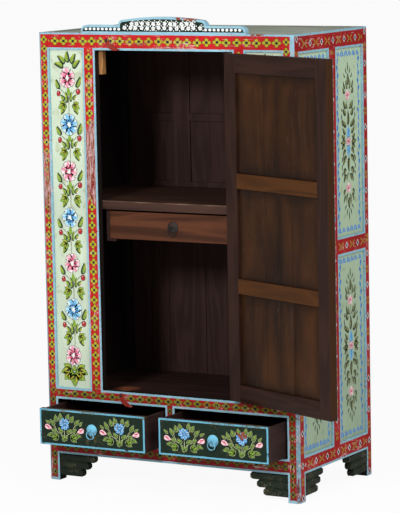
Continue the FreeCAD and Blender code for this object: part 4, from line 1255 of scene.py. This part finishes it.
class CABINET_OT_side_frames(bpy.types.Operator):
    """Paint the rails and stiles of both sides"""

    bl_idname = "cabinet.side_frames"
    bl_label = "Side frames"

    def execute(self, context):
        sizes = ornament()
        top = (SIDE_PANELS[1].z + HEIGHT) / 2 - 1 * MM
        low = (BOTTOM_RAIL[0].z + SIDE_PANELS[0].z) / 2
        levels = (low, SIDE_MIDDLE, top)
        rails = side_member("side_rail_paint", False, levels, -27 * MM, sizes.side_rail_pitch)
        centres = ((SIDE_STILE[0].y + SIDE_STILE[1].y) / 2,)
        stile = side_member("side_stile_paint", True, centres, 70 * MM, sizes.side_post_pitch)
        for word in ("left", "right"):
            dress(f"{word}_side_rails", rails)
            dress(f"{word}_side_stile", stile)
        return {"FINISHED"}


class CABINET_OT_front_panels(bpy.types.Operator):
    """Paint the fixed front panels and their garlands"""

    bl_idname = "cabinet.front_panels"
    bl_label = "Front panels"

    def execute(self, context):
        def behind(recipe):
            return recipe.y.over(FRONT_PANEL[0].y + 1 * MM)

        ground = panel_paint("front_panel_paint", colours().mint, 0.82, 0.99, behind)
        for side, word in SIDES:
            dress(f"front_{word}_panel", ground, 0)
            art = Brushwork(GARLAND_PAINTS)
            middle = side * (FRONT_PANEL[0].x + FRONT_PANEL[1].x) / 2
            art.face = canvas((middle, FRONT_PANEL[0].y, 0), (1, 0, 0))
            garland(art, 1350, 7, side + 3)
            art.finish(f"{word}_garland", "carcass", "mint_painted_panel")
        return {"FINISHED"}


class CABINET_OT_side_panels(bpy.types.Operator):
    """Paint the side panels with sprays inside scroll borders"""

    bl_idname = "cabinet.side_panels"
    bl_label = "Side panels"

    def execute(self, context):
        def behind(recipe):
            return recipe.x.size().under(SIDE_PANELS[1].x - 1 * MM)

        # the side panels take deeper painted shade than the front ones
        ground = panel_paint("side_panel_paint", colours().side_mint, 0.65, 1.0, behind)
        low, high = SIDE_PANELS
        spans = ((low.y, SIDE_STILE[0].y), (SIDE_STILE[1].y, high.y))
        rows = ((low.z, SIDE_MIDDLE - SIDE_MIDDLE_HALF), (SIDE_MIDDLE + SIDE_MIDDLE_HALF, high.z))
        for side, word in SIDES:
            dress(f"{word}_side_panels", ground, 0)
            art = Brushwork(SPRAY_PAINTS)
            chance = random.Random(side + 8)
            for span in spans:
                for row in rows:
                    centre = (side * high.x, sum(span) / 2, sum(row) / 2)
                    art.face = canvas(centre, (0, side, 0))
                    scroll_border(art, (span[1] - span[0]) / MM, (row[1] - row[0]) / MM, chance)
                    spray(art, chance)
            art.finish(f"{word}_side_sprays", "carcass", "mint_painted_panel")
        return {"FINISHED"}


class CABINET_OT_crest(bpy.types.Operator):
    """Make the shaped crest with its blue edge, dots and flowers"""

    bl_idname = "cabinet.crest"
    bl_label = "Crest"

    def execute(self, context):
        paints = colours()
        shape = node_shape("crest")
        front = max(shape.faces, key=lambda face: -face.normal.y * face.calc_area())
        bmesh.ops.inset_region(shape, faces=[front], thickness=ornament().line, use_even_offset=True)
        for face in shape.faces:
            face.material_index = 1
        front.material_index = 0
        # darker green of the brush streaks
        streak_green = dimmed(paints.bottle, 0.5)
        green = flat_paint("crest_green", paints.bottle, streak_green, 0.0, drawn_out("x", 0.3), paints.stem)
        blue = self.worn_blue()
        new_piece("crest_board", shape, [green, blue], "carcass", ["crest"])
        self.flowers()
        return {"FINISHED"}

    def flowers(self):
        """Dots on the low steps and two rows of small flowers under the arch."""
        art = Brushwork(("white", "pale_sky", "leaf"))
        art.face = canvas((0, CREST[0].y, CREST[0].z), (1, 0, 0))
        first = CREST[1].x / MM - 20
        for side in (-1, 1):
            for item in range(9):
                art.dab("round", (side * (first - item * 15.6), 13), 10.6, 9, 0, "white")
        chance = random.Random(5)
        for up, count, pitch in ((17, 14, 21.6), (31, 12, 20.4)):
            for item in range(count):
                across = (item - (count - 1) / 2) * pitch + chance.uniform(-2, 2)
                at = (across, up + chance.uniform(-1.5, 1.5))
                lean = chance.uniform(0, 72)
                for turn in range(0, 360, 72):
                    art.dab("petal", reach(at, turn + lean, 4.7), 6.8, 5.8, turn + lean, "white", level=2)
                art.dab("round", at, 3.6, 3.6, 0, "leaf" if item % 2 else "pale_sky", level=3)
                for across, rise in ((11, -7), (11, 6), (5, 10)):
                    art.dab("round", (at[0] + across, at[1] + rise), 4.2, 4, 0, "white")
        art.finish("crest_flowers", "carcass", "dark_green_painted")

    def worn_blue(self):
        """Blue paint with rusty chips along the top on the right."""
        paints = colours()
        recipe = Recipe("crest_blue")
        ground = brushed(recipe, paints.line_blue, dimmed(paints.line_blue, 0.7), (1, 1, 1))
        wear = recipe.noise(9, 2) * 0.14 - 0.05
        place = wear_between(recipe.x, 44 * MM, 150 * MM, 0.3) * recipe.z.over(CREST[0].z + 34 * MM)
        chips = place + recipe.noise(75, 4, rough=0.6)
        ground = recipe.mix(chips.over(0.76, 0.02), ground, paints.rust)
        return worn_surface(recipe, ground, paints.primer, wear)


class CABINET_OT_drawers(bpy.types.Operator):
    """Paint the drawer fronts and finish the drawer boxes"""

    bl_idname = "cabinet.drawers"
    bl_label = "Drawers"
    rusty_patch = (
        ((111, 90), 20, 100), ((99, 84), 17, 150), ((120, 82), 15, 40), ((106, 75), 13, 250),
        ((92, 92), 9, 120),
    )

    def execute(self, context):
        paints = colours()
        for word in ("left", "right"):
            low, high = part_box(f"{word}_drawer_front")
            dress(f"{word}_drawer_front", self.front_paint(word, low, high))
            art = Brushwork(BOUQUET_PAINTS)
            art.face = canvas(((low.x + high.x) / 2, low.y, low.z), (1, 0, 0))
            chance = random.Random(word)
            for across in (-106, 106):
                bouquet(art, across, 13, chance)
            if word == "right":
                for place, size, turn in self.rusty_patch:
                    art.dab("petal", place, size, size * 0.7, turn, "rust", level=6)
            art.finish(f"{word}_bouquets", f"{word}_drawer", "dark_green_painted")
        side_wood = timber_finish("drawer_side_timber", paints.dark_timber, "y")
        cross_wood = timber_finish("drawer_cross_timber", paints.dark_timber, "x")
        for word in ("left", "right", "inner"):
            dress(f"{word}_drawer_sides", side_wood)
            dress(f"{word}_drawer_back", cross_wood)
            dress(f"{word}_drawer_bottom", cross_wood, 0)
        timber = timber_finish("inner_drawer_timber", paints.brown_timber, "x", 0.4, 13, strength=0.85)
        dress("inner_drawer_front", timber)
        return {"FINISHED"}

    def front_paint(self, word, low, high):
        """Dark green with a worn blue edge, and bare timber behind."""
        paints = colours()
        recipe = Recipe(f"{word}_drawer_paint")
        ground = brushed(recipe, paints.bottle, dimmed(paints.bottle, 0.55), drawn_out("x", 0.2))
        inside = outside(recipe.x, recipe.z, *oblong(low.xz, high.xz)) + wobble(recipe)
        edge = inside.over(-ornament().line * 0.82, 0.4 * MM) * chipped(recipe, 0.03).opposite()
        specks = recipe.noise(130, 4, rough=0.7) * 0.7 + recipe.noise(14, 2) * 0.3
        ground = recipe.mix(specks.over(0.6, 0.02) * 0.7, ground, paints.stem)
        ground = recipe.mix(edge, ground, dimmed(paints.pull_blue, 0.75))
        timber, _ = grained(recipe, paints.dark_timber, "x")
        ground = recipe.mix(recipe.y.over(low.y + 1.2 * MM, CRISP), ground, timber)
        wear = recipe.noise(9, 2) * 0.16 - 0.09 + recipe.z.over(high.z - 9 * MM, 4 * MM) * 0.1
        return worn_surface(recipe, ground, paints.stem, wear, height=edge)


class CABINET_OT_door(bpy.types.Operator):
    """Finish the door: timber inside, paint and posies outside"""

    bl_idname = "cabinet.door"
    bl_label = "Door"

    def execute(self, context):
        middle = DOOR_WIDTH[1] - DOOR_STILE / 2
        for node, along, centre in (
            ("door_free_stile", "z", -middle), ("door_hinge_stile", "z", middle), ("door_rails", "x", None),
        ):
            dress(node, self.member_material(node, along, centre))
        dress("door_panels", self.panel_material(), 0.6 * MM)
        art = Brushwork((*GARLAND_PAINTS, "scroll"))
        chance = random.Random(12)
        for low, high in DOOR_PANEL_LEVELS:
            art.face = DOOR_TURN @ canvas((0, DOOR_FACE, (low + high) / 2), (1, 0, 0))
            scroll_border(art, 2 * (DOOR_WIDTH[1] - DOOR_STILE) / MM, (high - low) / MM, chance)
            door_posy(art, chance)
        art.finish("door_posies", "door", "mint_painted_panel")
        return {"FINISHED"}

    def panel_material(self):
        """Stained timber inside, darker beside the frame as painted shade, and mint paint outside."""
        paints = colours()
        recipe = Recipe("door_panel_paint", DOOR_TURN)
        timber, height = grained(recipe, paints.door_timber, "z", 8)
        stains = recipe.noise(7, 4, (1, 1, 0.5)).over(0.52, 0.1)
        timber = recipe.mix(stains * 0.65, timber, dimmed(paints.rail_timber, 1.15))
        # painted shade in the recess beside the frame, with darker blotches
        frame_shade_and_blotches = door_lines(recipe.x, recipe.z).over(-22 * MM, 20 * MM) + recipe.noise(12, 3) * 0.5
        timber = recipe.darker(timber, frame_shade_and_blotches.ramp(-0.5, 1.05))
        rubs = recipe.noise(120, 4, (1, 1, 0.15)).over(0.66, 0.03) * recipe.noise(5, 2).over(0.5, 0.1)
        timber = recipe.mix(rubs * 0.12, timber, paints.door_rubs)
        mint = brushed(recipe, paints.mint, dimmed(paints.mint, 0.86), (1, 1, 0.2))
        tone = recipe.mix(recipe.y.under(DOOR_FACE + SKIN), timber, mint)
        return recipe.finish(tone, height * 0.2 + 0.4, height, specular=0.15)

    def member_material(self, node, along, centre):
        """Flowers and blue lines outside, bare timber inside."""
        paints = colours()
        recipe = Recipe(f"{node}_paint", DOOR_TURN)
        x, z = recipe.x, recipe.z
        colour = painted_ground(recipe, along)
        if along == "z":
            rows, pitch, longer = [(z, x - centre)], ornament().post_pitch, 1.0
        else:
            edges = [DOOR_LEVELS[0], *[level for pair in DOOR_PANEL_LEVELS for level in pair], DOOR_LEVELS[1]]
            rows = [(x, z - (low + high) / 2) for low, high in zip(edges[::2], edges[1::2])]
            pitch, longer = ornament().rail_pitch, 1.2
        for run, across in rows:
            row = flower_row(recipe, run, across, pitch, 10 * MM, longer=longer)
            colour, _ = laid_flowers(recipe, colour, row, across.size().under(16 * MM))
        whole = outside(x, z, *oblong(*zip(DOOR_WIDTH, DOOR_LEVELS)))
        colour, _ = with_lines(recipe, colour, door_lines(x, z), whole.over(-ornament().line))
        timber, height = grained(recipe, paints.stile_timber, along)
        if along == "x":
            warm, _ = grained(recipe, paints.rail_timber, along)
            between = z.over(DOOR_PANEL_LEVELS[0][1] - 9 * MM) * z.under(DOOR_PANEL_LEVELS[2][0] + 9 * MM)
            timber = recipe.mix(between, timber, warm)
        free_edge = x.under(DOOR_WIDTH[0] + SKIN, 0.3 * MM)
        timber = recipe.mix(free_edge, timber, dimmed(paints.rail_timber, 0.6))
        face = recipe.y.under(-OUTER_Y + SKIN, CRISP)
        colour = recipe.mix(face, timber, colour)
        gone = rubbed(recipe, recipe.noise(7, 2) * 0.12 - 0.06)
        colour = recipe.mix(gone * face, colour, paints.primer)
        return recipe.finish(colour, height * 0.2 + 0.42, height, specular=0.15)


class CABINET_OT_inside(bpy.types.Operator):
    """Finish the back, the shelf, the floor, the runners and the top"""

    bl_idname = "cabinet.inside"
    bl_label = "Inside and back"

    def execute(self, context):
        paints = colours()
        dark, dusty = paints.dark_timber, dimmed(paints.dark_timber, 0.9)
        backs = ("back_boards", "back_panels", "back_frame")
        battens = ("drawer_runners", "inner_drawer_runners", "cleats")
        for name, colour, grain, roughness, figure, patch, edge, nodes in (
            ("back", dark, "z", 0.55, 10, self.weathered_top, 0.8 * MM, backs),
            ("shelf", paints.shelf_timber, "x", 0.42, 7, self.worn_edge, None, ("shelf_boards",)),
            ("floor", dusty, "x", 0.5, 10, self.rust, None, ("floor_boards",)),
            ("runner", dark, "y", 0.6, 10, None, 0.6 * MM, battens),
            ("stop", paints.pale_timber, "z", 0.55, 14, None, None, ("door_stop",)),
            ("top", paints.grey_timber, "x", 0.7, 9, None, None, ("top_boards",)),
        ):
            timber = timber_finish(f"{name}_timber", colour, grain, roughness, figure, patch=patch)
            for node in nodes:
                dress(node, timber, edge)
        return {"FINISHED"}

    def weathered_top(self, recipe, tone):
        """Grey timber where a piece comes up to the top."""
        grey, _ = grained(recipe, colours().grey_timber, "x")
        return recipe.mix(recipe.z.over(HEIGHT - SKIN), tone, grey)

    def worn_edge(self, recipe, tone):
        """A lighter, rubbed strip along the front edge of the shelf."""
        low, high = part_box("shelf_boards")
        edge = recipe.z.over(high.z - 7 * MM, 4 * MM) * recipe.y.under(low.y + 6 * MM, 4 * MM)
        worn = edge * 0.5 + recipe.noise(60, 3, (0.2, 1, 1)) * 0.6
        return recipe.mix(worn.over(0.8, 0.06) * 0.35, tone, colours().shelf_edge)

    def rust(self, recipe, tone):
        """A rusty mark on the floor near its left front corner, made bright as a painted pool of light."""
        near = recipe.distance(recipe.x, recipe.y, (-246 * MM, -124 * MM)) + wobble(recipe, 14 * MM, 22)
        flakes = near.under(42 * MM, 10 * MM) * recipe.noise(110, 3, (0.4, 1, 1)).over(0.46, 0.08)
        # rust colour, bright enough to stand in for a painted pool of light
        return recipe.mix(flakes * 0.9, tone, colours().floor_rust_and_light)


class CABINET_OT_feet(bpy.types.Operator):
    """Paint the stepped foot brackets"""

    bl_idname = "cabinet.feet"
    bl_label = "Foot brackets"

    def execute(self, context):
        paints = colours()
        dark = dimmed(paints.foot_green, 0.2)
        green = flat_paint("bracket_green", paints.foot_green, dark, 0.07, (0.2, 0.2, 1), paints.foot_worn)
        dress("foot_brackets", green, 2.2 * MM)
        return {"FINISHED"}


class CABINET_OT_pulls(bpy.types.Operator):
    """Make the rosettes and the rings that hang in them"""

    bl_idname = "cabinet.pulls"
    bl_label = "Ring pulls"

    def execute(self, context):
        blue = self.rosette_blue("pull_blue", DRAWER_PULL_UP, None)
        iron = iron_finish("pull_iron")
        for word, paint, slot in (
            ("left_drawer", blue, "pale_blue_iron"),
            ("right_drawer", blue, "pale_blue_iron"),
            ("inner_drawer", iron, "dark_iron"),
        ):
            low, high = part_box(f"{word}_pull_rosette")
            place = ((low.x + high.x) / 2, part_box(f"{word}_front")[0].y, low.z + ROSETTE_RADIUS)
            ring_pull(word, place, Matrix.Identity(4), paint)
        door_blue = self.rosette_blue("door_pull_blue", DOOR_PULL[2], DOOR_TURN)
        ring_pull("door", DOOR_PULL, DOOR_TURN, door_blue)
        return {"FINISHED"}

    def rosette_blue(self, name, middle, turned):
        """Blue paint with grey brush strokes over the lower half, standing in also as painted shade under the
        ring.
        """
        paints = colours()
        recipe = Recipe(name, turned)
        ground = brushed(recipe, paints.pull_blue, dimmed(paints.pull_blue, 0.75), (1, 1, 1))
        # grey over the lower half: brush strokes and painted shade under the ring
        strokes = recipe.noise(150, 3, (1, 1, 0.35)).over(0.5, 0.06) * recipe.z.under(middle, 6 * MM)
        ground = recipe.mix(strokes * 0.75, ground, paints.pull_grey_ring_shade)
        return worn_surface(recipe, ground, paints.iron, -0.02)


class CABINET_OT_ironwork(bpy.types.Operator):
    """Finish the hinges, the nails and the wooden turn hooks"""

    bl_idname = "cabinet.ironwork"
    bl_label = "Hinges and hooks"

    def execute(self, context):
        paints = colours()
        iron = iron_finish("hinge_iron")
        for node in ("door_hinge_leaves", "frame_hinge_leaves", "hinge_pins", "hook_nails"):
            dress(node, iron, 0)
        hook = flat_paint("hook_red", dimmed(paints.red, 0.45), paints.rust, 0.03, (1, 1, 0.3), paints.primer)
        for node in ("top_hook", "bottom_hook"):
            dress(node, hook, 1.0 * MM)
        return {"FINISHED"}


# Where the photo was taken from, and the lamps: place, size and the setting of their power
CAMERA_PLACE = (4.66865, -8.14463, 1.97134)
LAMPS = (
    ("key_lamp", (0.3, -6.2, 3.3), 1.1, "key"),
    ("fill_lamp", (3.4, -2.0, 3.4), 2.2, "fill"),
)
LAMP_AIM = Vector((0, 0, 0.8))


class CABINET_OT_studio(bpy.types.Operator):
    """Set up the floor, the light and the camera"""

    bl_idname = "cabinet.studio"
    bl_label = "Studio"

    def execute(self, context):
        studio = context.scene.cabinet_studio
        self.floor()
        self.world(studio.ambient)
        for name, place, size, power in LAMPS:
            self.lamp(name, place, size, getattr(studio, power))
        self.camera(context, studio)
        context.scene.view_settings.view_transform = "Standard"
        return {"FINISHED"}

    def floor(self):
        mesh = bmesh.new()
        bmesh.ops.create_grid(mesh, x_segments=1, y_segments=1, size=70)
        data = bpy.data.meshes.new("studio_floor")
        mesh.to_mesh(data)
        mesh.free()
        floor = bpy.data.objects.new("studio_floor", data)
        bpy.context.scene.collection.objects.link(floor)
        recipe = Recipe("studio_white")
        matt = recipe.add("BsdfDiffuse", (0.9, 0.9, 0.9))
        glow = recipe.add("Emission", (1.0, 1.0, 1.0), 1.0)
        seen = recipe.field(recipe.add("LightPath"), "Is Camera Ray")
        blend = recipe.add("MixShader", seen * 0.94, matt.outputs[0], glow.outputs[0])
        recipe.add("OutputMaterial", blend.outputs[0])
        data.materials.append(recipe.material)

    def world(self, ambient):
        world = bpy.data.worlds.new("studio_world")
        tree = NodeTree(world)
        rays = tree.add("LightPath").outputs
        seen = tree.add("Math", rays["Is Camera Ray"], rays["Is Transmission Ray"], operation="MAXIMUM")
        soft = tree.add("Background", (1, 1, 1), ambient)
        white = tree.add("Background", (1, 1, 1), 1.0)
        blend = tree.add("MixShader", seen.outputs[0], soft.outputs[0], white.outputs[0])
        tree.add("OutputWorld", blend.outputs[0])
        bpy.context.scene.world = world

    def lamp(self, name, place, size, watts):
        light = bpy.data.lights.new(name, "AREA")
        light.size = size
        light.energy = watts
        lamp = bpy.data.objects.new(name, light)
        lamp.location = place
        lamp.rotation_euler = (LAMP_AIM - Vector(place)).to_track_quat("-Z", "Y").to_euler()
        bpy.context.scene.collection.objects.link(lamp)

    def camera(self, context, studio):
        data = bpy.data.cameras.new("photo_camera")
        data.sensor_width = 36
        data.lens = studio.lens
        data.clip_end = 150
        camera = bpy.data.objects.new("photo_camera", data)
        place = Matrix.Translation(CAMERA_PLACE)
        heading = Matrix.Rotation(studio.heading, 4, "Z")
        pitch = Matrix.Rotation(math.radians(90) + studio.pitch, 4, "X")
        camera.matrix_world = place @ heading @ pitch @ Matrix.Rotation(studio.roll, 4, "Z")
        context.scene.collection.objects.link(camera)
        context.scene.camera = camera


class CABINET_PT_tools(bpy.types.Panel):
    """The steps in the order in which they are run."""

    bl_label = "Painted cabinet"
    bl_idname = "CABINET_PT_tools"
    bl_space_type = "VIEW_3D"
    bl_region_type = "UI"
    bl_category = "Cabinet"

    def draw(self, context):
        for step in STEPS:
            self.layout.operator(step.bl_idname)


STEPS = (
    CABINET_OT_front_frame,
    CABINET_OT_side_frames,
    CABINET_OT_front_panels,
    CABINET_OT_side_panels,
    CABINET_OT_crest,
    CABINET_OT_drawers,
    CABINET_OT_door,
    CABINET_OT_inside,
    CABINET_OT_feet,
    CABINET_OT_pulls,
    CABINET_OT_ironwork,
    CABINET_OT_studio,
)
GROUPS = (
    ("cabinet_colours", CabinetColours),
    ("cabinet_ornament", CabinetOrnament),
    ("cabinet_studio", CabinetStudio),
)


def register():
    for name, group in GROUPS:
        bpy.utils.register_class(group)
        setattr(bpy.types.Scene, name, PointerProperty(type=group))
    for step in STEPS:
        bpy.utils.register_class(step)
    bpy.utils.register_class(CABINET_PT_tools)


def unregister():
    bpy.utils.unregister_class(CABINET_PT_tools)
    for step in reversed(STEPS):
        bpy.utils.unregister_class(step)
    for name, group in reversed(GROUPS):
        delattr(bpy.types.Scene, name)
        bpy.utils.unregister_class(group)


def main():
    register()
    for step in STEPS:
        group, name = step.bl_idname.split(".")
        getattr(getattr(bpy.ops, group), name)()


if __name__ == "__main__":
    main()
